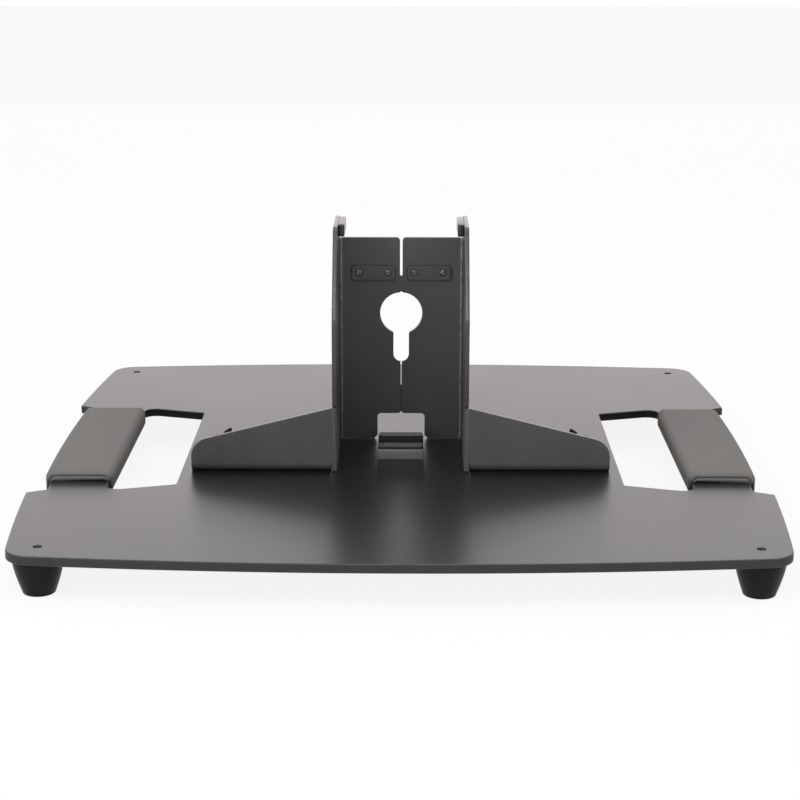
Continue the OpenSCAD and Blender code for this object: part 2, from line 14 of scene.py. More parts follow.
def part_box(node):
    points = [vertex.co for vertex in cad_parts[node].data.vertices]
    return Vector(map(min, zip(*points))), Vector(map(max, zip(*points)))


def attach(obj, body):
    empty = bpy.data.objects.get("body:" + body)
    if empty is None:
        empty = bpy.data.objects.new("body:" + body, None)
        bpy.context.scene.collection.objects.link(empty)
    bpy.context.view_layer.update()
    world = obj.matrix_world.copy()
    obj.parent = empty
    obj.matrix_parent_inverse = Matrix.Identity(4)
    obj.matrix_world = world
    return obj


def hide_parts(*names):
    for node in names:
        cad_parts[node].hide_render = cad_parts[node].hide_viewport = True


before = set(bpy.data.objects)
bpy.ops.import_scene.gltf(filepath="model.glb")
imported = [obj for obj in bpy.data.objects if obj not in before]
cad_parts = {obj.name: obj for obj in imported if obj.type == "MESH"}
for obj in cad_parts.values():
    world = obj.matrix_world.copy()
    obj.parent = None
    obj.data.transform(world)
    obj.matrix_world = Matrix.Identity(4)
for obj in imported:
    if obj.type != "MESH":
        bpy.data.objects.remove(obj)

LOG = logging.getLogger("stand")
MM = 0.001
BODY = "stand"
FULL_TURN = 2 * math.pi
HALF_TURN = math.pi
QUARTER_TURN = math.pi / 2
TINY = 1e-9
ON_CHORD = 1e-6
MITRE_LIMIT = 0.35
RIM_BORDER = 0.25
BEVEL = 0.3
PAD_PITCH = 20.2
CORNERS = ("front_left", "front_right", "rear_left", "rear_right")
BOLT_ANGLES = {"left_outer": 64, "left_inner": 160, "right_inner": 35, "right_outer": 116}
FACING = {
    "+Z": [[1, 0, 0], [0, 1, 0], [0, 0, 1]],
    "-Z": [[1, 0, 0], [0, -1, 0], [0, 0, -1]],
    "-Y": [[1, 0, 0], [0, 0, -1], [0, 1, 0]],
    "+X": [[0, 0, 1], [1, 0, 0], [0, 1, 0]],
    "-X": [[0, 0, -1], [-1, 0, 0], [0, 1, 0]],
}

Triple = tuple[float, float, float]
Socket = bpy.types.NodeSocket


class Side(Enum):
    """Which half of the stand a piece belongs to, as the sign of its X."""

    LEFT = -1
    RIGHT = 1


@dataclass(frozen=True)
class Box:
    """Lowest and highest corner of a CAD node, in millimetres."""

    low: np.ndarray
    high: np.ndarray

    @classmethod
    def of(cls, node: str) -> "Box":
        """Box of the CAD node with this name."""
        low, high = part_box(node)
        return cls(np.array(low) / MM, np.array(high) / MM)

    @property
    def centre(self) -> np.ndarray:
        """Middle of the box."""
        return (self.low + self.high) / 2

    @property
    def size(self) -> np.ndarray:
        """Lengths of the box along X, Y and Z."""
        return self.high - self.low


@dataclass(frozen=True)
class Chord:
    """Line across a flat drawing that its faces are divided along, at one coordinate and beyond the other."""

    axis: int
    value: float
    beyond: float = -math.inf


@dataclass
class Shell:
    """Vertices in millimetres with their faces, and an edge mark for each vertex: how near it is to a rounded edge,
    painted shade on the grips, and the painted highlight on the rear bends.
    """

    points: np.ndarray
    faces: list[list[int]]
    edge: np.ndarray

    def mapped(self, points: np.ndarray) -> "Shell":
        """Same faces on moved points."""
        return Shell(points, self.faces, self.edge)

    def moved(self, *offset: float) -> "Shell":
        """Same shell shifted along X, Y and Z."""
        return self.mapped(self.points + np.array(offset, float))

    def turned(self, matrix: list[list[float]]) -> "Shell":
        """Same shell turned by a 3 by 3 matrix about the origin."""
        return self.mapped(self.points @ np.array(matrix, float).T)

    def outward(self) -> "Shell":
        """Turns every face round if the closed shell encloses a negative volume.

        The volume is the sum over fan triangles of a . (b x c) / 6.

        Returns:
            The shell with its faces outward.
        """
        fans = np.array([(f[0], f[i], f[i + 1]) for f in self.faces for i in range(1, len(f) - 1)])
        a, b, c = (self.points[fans[:, k]] for k in range(3))
        if np.einsum("ij,ij->", a, np.cross(b, c)) < 0:
            return Shell(self.points, [f[::-1] for f in self.faces], self.edge)
        return self

    @staticmethod
    def joined(shells: list["Shell"]) -> "Shell":
        """Puts several shells into one, keeping each one closed.

        Args:
            shells: the shells to put together.

        Returns:
            One shell with all their points and faces.
        """
        starts = np.cumsum([0] + [len(s.points) for s in shells[:-1]]).tolist()
        faces = [[i + k for i in f] for s, k in zip(shells, starts) for f in s.faces]
        return Shell(np.vstack([s.points for s in shells]), faces, np.concatenate([s.edge for s in shells]))


def grid_faces(rows: int, columns: int, offset: int = 0, wrap_rows: bool = False) -> list[list[int]]:
    """Quads of a grid whose columns close on themselves.

    Args:
        rows: number of rows of points.
        columns: number of points in a row.
        offset: index of the grid's first point.
        wrap_rows: True if the last row also joins the first.

    Returns:
        The quads, as vertex indices.
    """
    last = rows if wrap_rows else rows - 1
    j, i = np.meshgrid(np.arange(last), np.arange(columns), indexing="ij")
    k, n = (j + 1) % rows, (i + 1) % columns
    quads = np.stack([j * columns + i, j * columns + n, k * columns + n, k * columns + i], -1)
    return (quads.reshape(-1, 4) + offset).tolist()


def unit(vectors: np.ndarray) -> np.ndarray:
    """Rows of an array divided by their lengths."""
    return vectors / np.maximum(np.linalg.norm(vectors, axis=1), TINY)[:, None]


def corner_arcs(corners: list[Triple], steps: int = 8) -> np.ndarray:
    """Closed outline through corners (x, y, radius), each rounded by an arc.

    An arc of radius r touches both sides at r / tan(half the corner's angle) from the corner, and its centre lies
    on the bisector at r / sin(half).

    Args:
        corners: corner points with their radii, 0 for a sharp one.
        steps: segments in each arc.

    Returns:
        Points of the outline, N by 2.
    """
    table = np.array(corners, float)
    here, radius = table[:, :2], table[:, 2]
    to_a, to_c = unit(np.roll(here, 1, 0) - here), unit(np.roll(here, -1, 0) - here)
    half = np.arccos(np.clip((to_a * to_c).sum(1), -1, 1)) / 2
    centre = here + unit(to_a + to_c) * (radius / np.sin(half))[:, None]
    reach = (radius / np.tan(half))[:, None]
    first, last = here + to_a * reach - centre, here + to_c * reach - centre
    start = np.arctan2(first[:, 1], first[:, 0])
    sweep = np.arctan2(last[:, 1], last[:, 0]) - start
    sweep = (sweep + HALF_TURN) % FULL_TURN - HALF_TURN
    angle = start[:, None] + sweep[:, None] * np.linspace(0, 1, steps + 1)
    arcs = centre[:, None] + radius[:, None, None] * np.stack([np.cos(angle), np.sin(angle)], -1)
    return np.vstack([bend if r > 0 else p[None] for bend, r, p in zip(arcs, radius, here)])


def arc(x: float, y: float, radius: float, start: float, end: float, steps: int) -> np.ndarray:
    """Points of an arc round (x, y) from one angle to another, with both its ends, N by 2."""
    a = np.linspace(start, end, steps + 1)
    return np.stack([x + radius * np.cos(a), y + radius * np.sin(a)], -1)


def circle(x: float, y: float, radius: float, steps: int) -> np.ndarray:
    """Points of a circle round (x, y), N by 2."""
    a = np.arange(steps) * FULL_TURN / steps
    return np.stack([x + radius * np.cos(a), y + radius * np.sin(a)], -1)


def wound(loop: np.ndarray, positive: bool) -> np.ndarray:
    """Loop with its points in anticlockwise order if positive is True, and clockwise order otherwise."""
    x, y = loop.T
    return loop if ((x * np.roll(y, -1) - np.roll(x, -1) * y).sum() > 0) == positive else loop[::-1]


def cut_at(loop: np.ndarray, chords: tuple[Chord, ...]) -> np.ndarray:
    """Adds a point wherever a closed loop crosses a chord.

    Args:
        loop: points, N by 2.
        chords: the chords.

    Returns:
        The loop with the added points.
    """
    for chord in chords:
        ahead = np.roll(loop, -1, 0)
        a, b = loop[:, chord.axis] - chord.value, ahead[:, chord.axis] - chord.value
        at = np.nonzero((a * b < 0) & (np.minimum(abs(a), abs(b)) > ON_CHORD))[0]
        added = loop[at] + (a[at] / (a[at] - b[at]))[:, None] * (ahead[at] - loop[at])
        keep = added[:, 1 - chord.axis] > chord.beyond
        loop = np.insert(loop, at[keep] + 1, added[keep], axis=0)
    return loop


def inset_directions(loop: np.ndarray) -> np.ndarray:
    """Direction in which each point of a loop moves so that every side shifts by 1 into the material.

    The sum of the two sides' left normals is divided by 1 plus their dot product, which mitres the corner.

    Args:
        loop: points wound so that the material is on their left, N by 2.

    Returns:
        One direction for each point.
    """
    ahead = unit(np.roll(loop, -1, 0) - loop)
    left = np.stack([-ahead[:, 1], ahead[:, 0]], -1)
    before = np.roll(left, 1, 0)
    return (left + before) / np.maximum(1 + (left * before).sum(1), MITRE_LIMIT)[:, None]


def inside(points: np.ndarray, loops: list[np.ndarray]) -> np.ndarray:
    """Tells which points lie in the material between an outer loop and its holes.

    A point lies inside the loops if it sees an odd number of crossings with them to the right of it.

    Args:
        points: places to test, N by 2.
        loops: outer loop and holes.

    Returns:
        True for each point in the material.
    """
    x, y = points[:, :1], points[:, 1:]
    (ax, ay), (bx, by) = np.vstack(loops).T, np.vstack([np.roll(loop, -1, 0) for loop in loops]).T
    with np.errstate(divide="ignore", invalid="ignore"):
        crossing = ((ay > y) != (by > y)) & (x < (bx - ax) * (y - ay) / (by - ay) + ax)
    return crossing.sum(1) % 2 == 1


def filled(loops: list[np.ndarray], flat: np.ndarray, chords: tuple[Chord, ...]) -> np.ndarray:
    """Triangles between an outer loop and its holes, divided along chords.

    Args:
        loops: outer loop first, then the holes.
        flat: all loops' points in one array.
        chords: lines that the triangles are divided along.

    Returns:
        Anticlockwise triangles as indices into flat, M by 3.
    """
    edges, start = [], 0
    for loop in loops:
        i = np.arange(len(loop))
        edges.append(np.stack([start + i, start + (i + 1) % len(loop)], -1))
        start += len(loop)
    for chord in chords:
        across = flat[:, 1 - chord.axis]
        on = np.nonzero((abs(flat[:, chord.axis] - chord.value) < ON_CHORD) & (across > chord.beyond))[0]
        on = on[np.argsort(across[on])]
        edges.append(np.stack([on[:-1], on[1:]], -1)[inside((flat[on[:-1]] + flat[on[1:]]) / 2, loops)])
    pairs = np.unique(np.sort(np.vstack(edges), axis=1), axis=0)
    made = delaunay_2d_cdt([Vector(p) for p in flat.tolist()], pairs.tolist(), [], 1, 1e-7)
    if len(made[0]) != len(flat):
        raise ValueError(f"the chords cross: {len(flat)} points became {len(made[0])}")
    source = np.array([v[0] for v in made[3]])
    triangles = source[np.array([list(f) for f in made[2]])]
    triangles = triangles[inside(flat[triangles].mean(1), loops)]
    a, b, c = (flat[triangles[:, k]] for k in range(3))
    area = (b[:, 0] - a[:, 0]) * (c[:, 1] - a[:, 1]) - (b[:, 1] - a[:, 1]) * (c[:, 0] - a[:, 0])
    triangles[area < 0] = triangles[area < 0][:, ::-1]
    return triangles


def rim_profile(thickness: float, edge: float, steps: int, worn: float) -> np.ndarray:
    """Profile of a plate's rim, from its lower face round to its upper face.

    Args:
        thickness: plate thickness.
        edge: radius of the rounded edges.
        steps: segments in each rounded edge.
        worn: nearness to the edge that the rim is marked with.

    Returns:
        Rows of inset, height and nearness to the edge.
    """
    border = edge + RIM_BORDER
    a = np.linspace(0, QUARTER_TURN, steps + 1)
    rise = np.stack([edge * (1 - np.sin(a)), edge * (1 - np.cos(a)), worn * np.sin(a)], -1)
    fall = rise[::-1] * [1, -1, 1] + [0, thickness, 0]
    return np.vstack([[border, 0, 0], rise, fall, [border, thickness, 0]])


def slab(outline: np.ndarray, holes: list[np.ndarray], thickness: float, edge: float,
         chords: tuple[Chord, ...] = (), steps: int = 3, worn: float = 1.0) -> Shell:
    """Flat plate with holes and rounded rims.

    The rim is the surface P(u, v): u runs along each loop and v along the rim profile, which insets the loop by
    e (1 - sin v) while it rises by e (1 - cos v). Both faces are triangulated between the loops.

    Args:
        outline: outer loop, N by 2.
        holes: inner loops.
        thickness: plate thickness.
        edge: radius of the rounded edges.
        chords: lines that the faces are divided along.
        steps: segments in each rounded edge.
        worn: nearness to the edge that the rim is marked with.

    Returns:
        A closed shell with the plate's lower face at height 0.
    """
    loops = [wound(cut_at(loop, chords), k == 0) for k, loop in enumerate([outline, *holes])]
    profile = rim_profile(thickness, edge, steps, worn)
    rows = len(profile)
    points, faces, near, lower, upper = [], [], [], [], []
    offset = 0
    for loop in loops:
        count = len(loop)
        level = loop[None] + inset_directions(loop)[None] * profile[:, 0][:, None, None]
        height = np.broadcast_to(profile[:, 1][:, None, None], (rows, count, 1))
        points.append(np.concatenate([level, height], -1).reshape(-1, 3))
        near.append(np.repeat(profile[:, 2], count))
        faces += grid_faces(rows, count, offset)
        lower.append(offset + np.arange(count))
        upper.append(offset + (rows - 1) * count + np.arange(count))
        offset += rows * count
    triangles = filled(loops, np.vstack(loops), chords)
    faces += np.concatenate(upper)[triangles].tolist()
    faces += np.concatenate(lower)[triangles[:, ::-1]].tolist()
    return Shell(np.vstack(points), faces, np.concatenate(near))


def around(profile: np.ndarray, steps: int) -> np.ndarray:
    """Rows of points of a profile (radius, height) carried round the Z axis.

    P(u, v) = (r(v) cos u, r(v) sin u, z(v)).

    Args:
        profile: points of the profile, N by 2.
        steps: segments round the axis.

    Returns:
        The points, N by steps by 3.
    """
    u = np.arange(steps) * FULL_TURN / steps
    r, z = profile[:, :1], profile[:, 1:]
    return np.stack([r * np.cos(u), r * np.sin(u), np.broadcast_to(z, (len(profile), steps))], -1)


def ring(section: np.ndarray, steps: int = 64) -> Shell:
    """Closed ring: a closed section (radius, height) carried round the Z axis."""
    faces = grid_faces(len(section), steps, wrap_rows=True)
    return Shell(around(section, steps).reshape(-1, 3), faces, np.zeros(len(section) * steps)).outward()


def washer(low: float, high: float, bore: float, *radii: float) -> Shell:
    """Washer with a bevelled lower edge.

    Args:
        low: height of its lower face.
        high: height of its upper face.
        bore: radius of its bore.
        radii: radii of the lower face, over the bevel and of the upper face.

    Returns:
        A closed shell.
    """
    heights = (low, low, low + BEVEL, high, high)
    return ring(np.stack([(bore, *radii, bore), heights], -1), 40)


def capped(rows: np.ndarray, first: float, last: float) -> Shell:
    """Closes rows of points round the Z axis with a fan of triangles to a pole at each end.

    Args:
        rows: points, N by steps by 3.
        first: height of the pole before the first row.
        last: height of the pole after the last row.

    Returns:
        A closed shell.
    """
    count, steps = rows.shape[:2]
    points = np.vstack([rows.reshape(-1, 3), [0, 0, first], [0, 0, last]])
    i = np.arange(steps)
    n, end, pole = (i + 1) % steps, (count - 1) * steps, np.full(steps, count * steps)
    faces = grid_faces(count, steps)
    faces += np.stack([n, i, pole], -1).tolist() + np.stack([end + i, end + n, pole + 1], -1).tolist()
    return Shell(points, faces, np.zeros(len(points))).outward()


def spun(line: np.ndarray, steps: int = 48) -> Shell:
    """Solid of revolution: an open line (radius, height) from pole to pole carried round the Z axis."""
    return capped(around(line[1:-1], steps), line[0, 1], line[-1, 1])


@dataclass(frozen=True)
class PanHead:
    """Pan head with a cross recess, standing on z = 0 with its crown up.

    The crown's height is h (1 - f (r / R)^4), and the cross is sunk where the smaller of |x| and |y| is below the
    recess's half width, inside its reach. Fall and sunk are shares of the height, and arm and the two slopes are
    shares of the recess's reach.
    """

    radius: float
    height: float
    recess: float
    fall: float = 0.35
    arm: float = 0.28
    arm_slope: float = 0.12
    end_slope: float = 0.2
    sunk: float = 0.55
    rings: int = 15
    steps: int = 48

    def shell(self) -> Shell:
        """Closed shell of the head.

        Returns:
            The shell, with the recess's depth taken from its crown.
        """
        r = np.linspace(0, 1, self.rings)[1:] * self.radius
        rows = around(np.stack([r, self.height * (1 - self.fall * (r / self.radius) ** 4)], -1), self.steps)
        x, y = abs(rows[..., 0]), abs(rows[..., 1])
        within = np.clip((self.recess - np.maximum(x, y)) / (self.recess * self.end_slope), 0, 1)
        deep = np.clip((self.recess * self.arm - np.minimum(x, y)) / (self.recess * self.arm_slope), 0, 1) * within
        rows[..., 2] -= deep * self.height * self.sunk
        return capped(np.concatenate([rows, rows[-1:] * [1, 1, 0]]), self.height * (1 - self.sunk), 0)


def shank(radius: float, low: float, high: float, pitch: float) -> Shell:
    """Threaded shank as a row of thread crests on a plain core, so crests and roots follow each other once a pitch.

    Args:
        radius: radius over the crests.
        low: height of its lower end.
        high: height of its upper end.
        pitch: distance from crest to crest.

    Returns:
        A closed shell.
    """
    turns = max(int((high - low) / pitch), 2)
    z = np.linspace(low, high, 2 * turns + 1)
    r = np.where(np.arange(len(z)) % 2 == 0, radius - 0.3 * pitch, radius)
    return spun(np.vstack([[[0, low]], np.stack([r, z], -1), [[0, high]]]), 24)


def turn_z(degrees: float) -> list[list[float]]:
    """Matrix of a turn about Z."""
    c, s = math.cos(math.radians(degrees)), math.sin(math.radians(degrees))
    return [[c, -s, 0], [s, c, 0], [0, 0, 1]]


def placed(name: str, data: bpy.types.ID) -> bpy.types.Object:
    """Adds an object with this data to the scene."""
    thing = bpy.data.objects.new(name, data)
    bpy.context.scene.collection.objects.link(thing)
    return thing


def make_piece(name: str, shell: Shell, material: bpy.types.Material, nodes: list[str],
               body: str = BODY) -> bpy.types.Object:
    """Turns a shell into a piece of the stand.

    Args:
        name: the piece's name.
        shell: its closed shell in millimetres.
        material: its finish.
        nodes: the CAD nodes it stands for.
        body: the body that it moves with.

    Returns:
        The new object.
    """
    mesh = bpy.data.meshes.new(name)
    mesh.from_pydata((shell.points * MM).tolist(), [], shell.faces)
    mesh.polygons.foreach_set("use_smooth", np.ones(len(mesh.polygons), bool))
    near = mesh.attributes.new("edge", "FLOAT", "POINT")
    near.data.foreach_set("value", shell.edge.astype(np.float32))
    mesh.materials.append(material)
    mesh.validate()
    mesh.update()
    piece = placed(name, mesh)
    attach(piece, body)
    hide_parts(*nodes)
    LOG.info("%s: %d points, %d faces, stands for %s", name, len(shell.points), len(shell.faces), ", ".join(nodes))
    return piece


def of_faces(mesh: bpy.types.Mesh, measure: str) -> np.ndarray:
    """Reads a measure of each face of a mesh.

    Args:
        mesh: the mesh.
        measure: "center" or "normal".

    Returns:
        The values, N by 3.
    """
    values = np.empty(3 * len(mesh.polygons))
    mesh.polygons.foreach_get(measure, values)
    return values.reshape(-1, 3)


def second_coat(mesh: bpy.types.Mesh, coat: bpy.types.Material, chosen: np.ndarray) -> None:
    """Gives the chosen faces of a mesh a second material."""
    mesh.materials.append(coat)
    mesh.polygons.foreach_set("material_index", chosen.astype(np.int32))


class NodeTree:
    """Small helper that adds and links shader nodes by name."""

    def __init__(self, owner: bpy.types.Material | bpy.types.World) -> None:
        """Takes the node tree of a material or a world."""
        owner.use_nodes = True
        self.owner, self.nodes, self.links = owner, owner.node_tree.nodes, owner.node_tree.links

    @classmethod
    def of_material(cls, name: str) -> "NodeTree":
        """Tree of a new material with only its output and a Principled shader."""
        return cls(bpy.data.materials.new(name))

    def add(self, kind: str, **values: Socket | float | Triple) -> bpy.types.Node:
        """Adds a node and sets its inputs.

        Args:
            kind: the node's type, without the word Shader.
            values: a value or a socket for each named input, with an underscore for a space.

        Returns:
            The node.
        """
        node = self.nodes.new(f"ShaderNode{kind}")
        for name, value in values.items():
            self.put(value, node.inputs[name.replace("_", " ")])
        return node

    def put(self, value: Socket | float | Triple, target: Socket) -> None:
        """Links a socket to an input, or sets the input to a number or a colour.

        Args:
            value: the socket, number or colour.
            target: the input.
        """
        if isinstance(value, Socket):
            self.links.new(value, target)
        else:
            target.default_value = (*value, 1.0) if target.type == "RGBA" else value

    def noise(self, scale: float, detail: float = 2.0, roughness: float = 0.5, stretch: Triple = (1, 1, 1)) -> Socket:
        """Noise on Object coordinates.

        Args:
            scale: features per metre.
            detail: octaves.
            roughness: strength of the finer octaves.
            stretch: scale of each coordinate before the noise.

        Returns:
            The noise's value.
        """
        mapping = self.add("Mapping", Vector=self.add("TexCoord").outputs["Object"], Scale=stretch)
        return self.add("TexNoise", Vector=mapping.outputs["Vector"], Scale=scale, Detail=detail,
                        Roughness=roughness).outputs["Fac"]

    def ramp(self, value: Socket, low: float, high: float, out_low: float = 0.0, out_high: float = 1.0) -> Socket:
        """Maps a value from one range to another, clamped."""
        return self.add("MapRange", Value=value, From_Min=low, From_Max=high, To_Min=out_low,
                        To_Max=out_high).outputs["Result"]

    def blend(self, factor: Socket, a: Triple | Socket, b: Triple | Socket) -> Socket:
        """Mixes two colours by a factor.

        Args:
            factor: share of the second colour.
            a: the first colour.
            b: the second colour.

        Returns:
            The mixed colour.
        """
        node = self.nodes.new("ShaderNodeMix")
        node.data_type = "RGBA"
        for value, target in ((factor, "Factor"), (a, 6), (b, 7)):
            self.put(value, node.inputs[target])
        return node.outputs[2]

    def maths(self, operation: str, a: Socket, b: Socket | float) -> Socket:
        """Combines two values.

        Args:
            operation: name of the operation.
            a: the first value.
            b: the second value.

        Returns:
            The result.
        """
        node = self.nodes.new("ShaderNodeMath")
        node.operation = operation
        self.put(a, node.inputs[0])
        self.put(b, node.inputs[1])
        return node.outputs[0]

    def edge(self) -> Socket:
        """Edge mark from the mesh's attribute: nearness to a rounded edge, painted shade on the grips and the painted
        highlight on the rear bends.
        """
        node = self.nodes.new("ShaderNodeAttribute")
        node.attribute_name = "edge"
        return node.outputs["Fac"]

    def bump(self, height: Socket, distance: float, **under: Socket) -> Socket:
        """Bump of a height in metres, on top of another Normal if one is given."""
        return self.add("Bump", Height=height, Distance=distance, **under).outputs["Normal"]

    def plain_rays(self) -> Socket:
        """Value that is 1 for rays from the camera and for glossy and see-through rays, and 0 for the rest."""
        rays = self.add("LightPath").outputs
        seen = self.maths("MAXIMUM", rays["Is Camera Ray"], rays["Is Glossy Ray"])
        return self.maths("MAXIMUM", seen, rays["Is Transmission Ray"])

    def finish(self, colour: Socket, roughness: Socket, normal: Socket, specular: float = 0.5,
               metallic: float = 0.0) -> bpy.types.Material:
        """Completes the Principled shader.

        Args:
            colour: base colour.
            roughness: base roughness.
            normal: bumped normal.
            specular: specular level.
            metallic: share of metal.

        Returns:
            The material.
        """
        shader = self.nodes["Principled BSDF"]
        for value, name in ((colour, "Base Color"), (roughness, "Roughness"), (normal, "Normal"),
                            (specular, "Specular IOR Level"), (metallic, "Metallic")):
            self.put(value, shader.inputs[name])
        return self.owner


@dataclass(frozen=True)
class PowderCoat:
    """Fine textured powder coat on steel."""

    name: str
    base: Triple
    lighter: Triple
    roughness: float = 0.42
    grain: float = 1500.0
    depth: float = 0.00003
    specular: float = 0.5
    fleck: float = 0.0
    clouds: float = 9.0
    flecks: float = 620.0
    wear: float = 700.0
    highlight_speckle: float = 260.0
    swing: float = 0.025
    rim: Triple = (0.02, 0.02, 0.02)
    rim_roughness: float = 0.33
    # Colour of the painted highlight on marked bends.
    bend_highlight_colour: Triple = (0.1, 0.1, 0.1)

    def build(self) -> bpy.types.Material:
        """Makes the material: grain, mottling, sparse pale flecks, a rim tone, smoother rims and a painted highlight
        on the marked bends.

        Returns:
            The material.
        """
        t = NodeTree.of_material(self.name)
        fine, coarse, cloud = t.noise(self.grain, 3.0, 0.6), t.noise(self.grain / 3.5), t.noise(self.clouds, 3.0, 0.55)
        tone = t.maths("MULTIPLY", t.ramp(cloud, 0.3, 0.7), 0.5)
        tone = t.maths("ADD", tone, t.maths("MULTIPLY", t.ramp(fine, 0.5, 0.72), 0.35))
        tone = t.maths("ADD", tone, t.maths("MULTIPLY", t.ramp(t.noise(self.flecks, 1.0), 0.66, 0.74), self.fleck))
        body = t.blend(t.maths("MINIMUM", tone, 1.0), self.base, self.lighter)
        # Rim tone by the edge mark: on the plate a paler painted light along its outer rounded rims; on the brackets a
        # slightly darker tone of the cut edges.
        rim_share = t.maths("MULTIPLY", t.edge(), t.ramp(t.noise(self.wear, 3.0, 0.65), 0.35, 0.62, 0.2, 1.0))
        highlight_speckle = t.ramp(t.noise(self.highlight_speckle, 3.0, 0.6), 0.35, 0.65, 0.5, 1.0)
        # Painted highlight: where the edge mark rises above 1, along the brackets' rear bends, a speckled pale colour
        # stands in for the light the bend catches.
        bend_highlight_share = t.maths("MULTIPLY", t.ramp(t.edge(), 1.0, 1.8), highlight_speckle)
        rimmed = t.blend(t.maths("MINIMUM", rim_share, 1.0), body, self.rim)
        satin = t.ramp(cloud, 0.1, 0.9, self.roughness - self.swing, self.roughness + self.swing)
        smooth = t.ramp(t.edge(), 0.0, 1.0, 0.0, self.rim_roughness - self.roughness)
        normal = t.bump(fine, self.depth, Normal=t.bump(coarse, self.depth * 2.5))
        return t.finish(t.blend(bend_highlight_share, rimmed, self.bend_highlight_colour), t.maths("ADD", satin, smooth), normal, self.specular)


@dataclass(frozen=True)
class DullCoat:
    """Thin dull coat that goes from one colour to another by the edge mark. On the plate's cut walls the paler colour
    is a painted light on the outer walls and the darker one a painted shade in the openings; in the bar rest's trough
    both colours are a painted shade.
    """

    name: str
    inner: Triple
    outer: Triple
    roughness: float = 0.5
    grain: float = 1600.0
    depth: float = 0.000006
    clouds: float = 90.0
    swing: float = 0.06
    specular: float = 0.12

    def build(self) -> bpy.types.Material:
        """Makes the material: the edge mark parts the two colours, with a soft mottle and a fine grain.

        Returns:
            The material.
        """
        t = NodeTree.of_material(self.name)
        mottle = t.ramp(t.noise(self.clouds, 3.0, 0.55), 0.3, 0.7, 0.85, 1.0)
        # The edge mark picks the second colour; on the plate's outer walls that colour is a painted light.
        painted_light_share = t.maths("MULTIPLY", t.ramp(t.edge(), 0.05, 0.4), mottle)
        colour = t.blend(painted_light_share, self.inner, self.outer)
        roughness = t.ramp(mottle, 0.85, 1.0, self.roughness, self.roughness - self.swing)
        return t.finish(colour, roughness, t.bump(t.noise(self.grain, 3.0, 0.6), self.depth), self.specular)


@dataclass(frozen=True)
class MouldedRubber:
    """Moulded rubber with a soft sheen and a fine spark-eroded skin."""

    name: str
    base: Triple
    lighter: Triple
    roughness: float = 0.5
    grain: float = 2600.0
    depth: float = 0.000012
    flow: float = 26.0
    specks: float = 420.0
    dust: float = 0.25
    specular: float = 0.5
    # Colour of the painted shade.
    deep: Triple = (0.01, 0.01, 0.01)

    def build(self) -> bpy.types.Material:
        """Makes the material: a fine skin, faint flow clouds, a trace of dust, and a painted shade where the mesh's
        edge mark says.

        Returns:
            The material.
        """
        t = NodeTree.of_material(self.name)
        cloud = t.noise(self.flow, 4.0, 0.6, (1.0, 0.35, 1.0))
        dust = t.maths("MULTIPLY", t.ramp(t.noise(self.specks, 4.0, 0.7), 0.6, 0.78), self.dust)
        tone = t.maths("MINIMUM", t.maths("ADD", t.ramp(cloud, 0.32, 0.72, 0.0, 0.7), dust), 1.0)
        # Painted shade: the edge mark darkens the rubber to the deep colour, down the grips' inner sides, their end
        # faces and grooves.
        colour = t.blend(t.edge(), t.blend(tone, self.base, self.lighter), self.deep)
        roughness = t.ramp(cloud, 0.3, 0.7, self.roughness - 0.05, self.roughness + 0.06)
        return t.finish(colour, roughness, t.bump(t.noise(self.grain), self.depth), self.specular)


@dataclass(frozen=True)
class PlatedSteel:
    """Black zinc on small steel parts, with turning marks and paler worn spots."""

    name: str
    base: Triple = (0.02, 0.02, 0.022)
    worn: Triple = (0.16, 0.16, 0.165)
    roughness: float = 0.34
    blotches: float = 380.0
    scratches: float = 900.0
    depth: float = 0.000012
    metallic: float = 0.75

    def build(self) -> bpy.types.Material:
        """Makes the material: metal with blotches in its colour and roughness.

        Returns:
            The material.
        """
        t = NodeTree.of_material(self.name)
        blotch = t.noise(self.blotches, 4.0, 0.65)
        colour = t.blend(t.maths("MULTIPLY", t.ramp(blotch, 0.5, 0.75), 0.6), self.base, self.worn)
        roughness = t.ramp(blotch, 0.3, 0.7, self.roughness, self.roughness + 0.16)
        scratch = t.noise(self.scratches, stretch=(1.0, 1.0, 6.0))
        return t.finish(colour, roughness, t.bump(scratch, self.depth), metallic=self.metallic)


# The plate's rim colour, paler than its coat, is a painted light on its outer rims.
PLATE_COAT = PowderCoat("plate_coat", (0.0032, 0.003, 0.003), (0.0062, 0.0058, 0.0058), roughness=0.33, grain=2200.0,
                        depth=0.000004, specular=0.75, rim=(0.036, 0.0345, 0.035))
# Cut walls: the outer colour is a painted light, the inner colour a painted shade.
CUT_WALL_LIGHT_AND_SHADE = DullCoat("plate_cut_coat", (0.004, 0.0038, 0.0038), (0.043, 0.0415, 0.042))
# The bracket coat's palest colour is a painted highlight along the rear bends.
BRACKET_COAT = PowderCoat("bracket_coat", (0.048, 0.0455, 0.048), (0.1, 0.094, 0.101), fleck=0.3,
                          rim=(0.036, 0.0345, 0.036), rim_roughness=0.24, bend_highlight_colour=(0.3, 0.29, 0.3))
REST_COAT = PowderCoat("rest_coat", (0.12, 0.116, 0.12), (0.155, 0.15, 0.155), roughness=0.5)
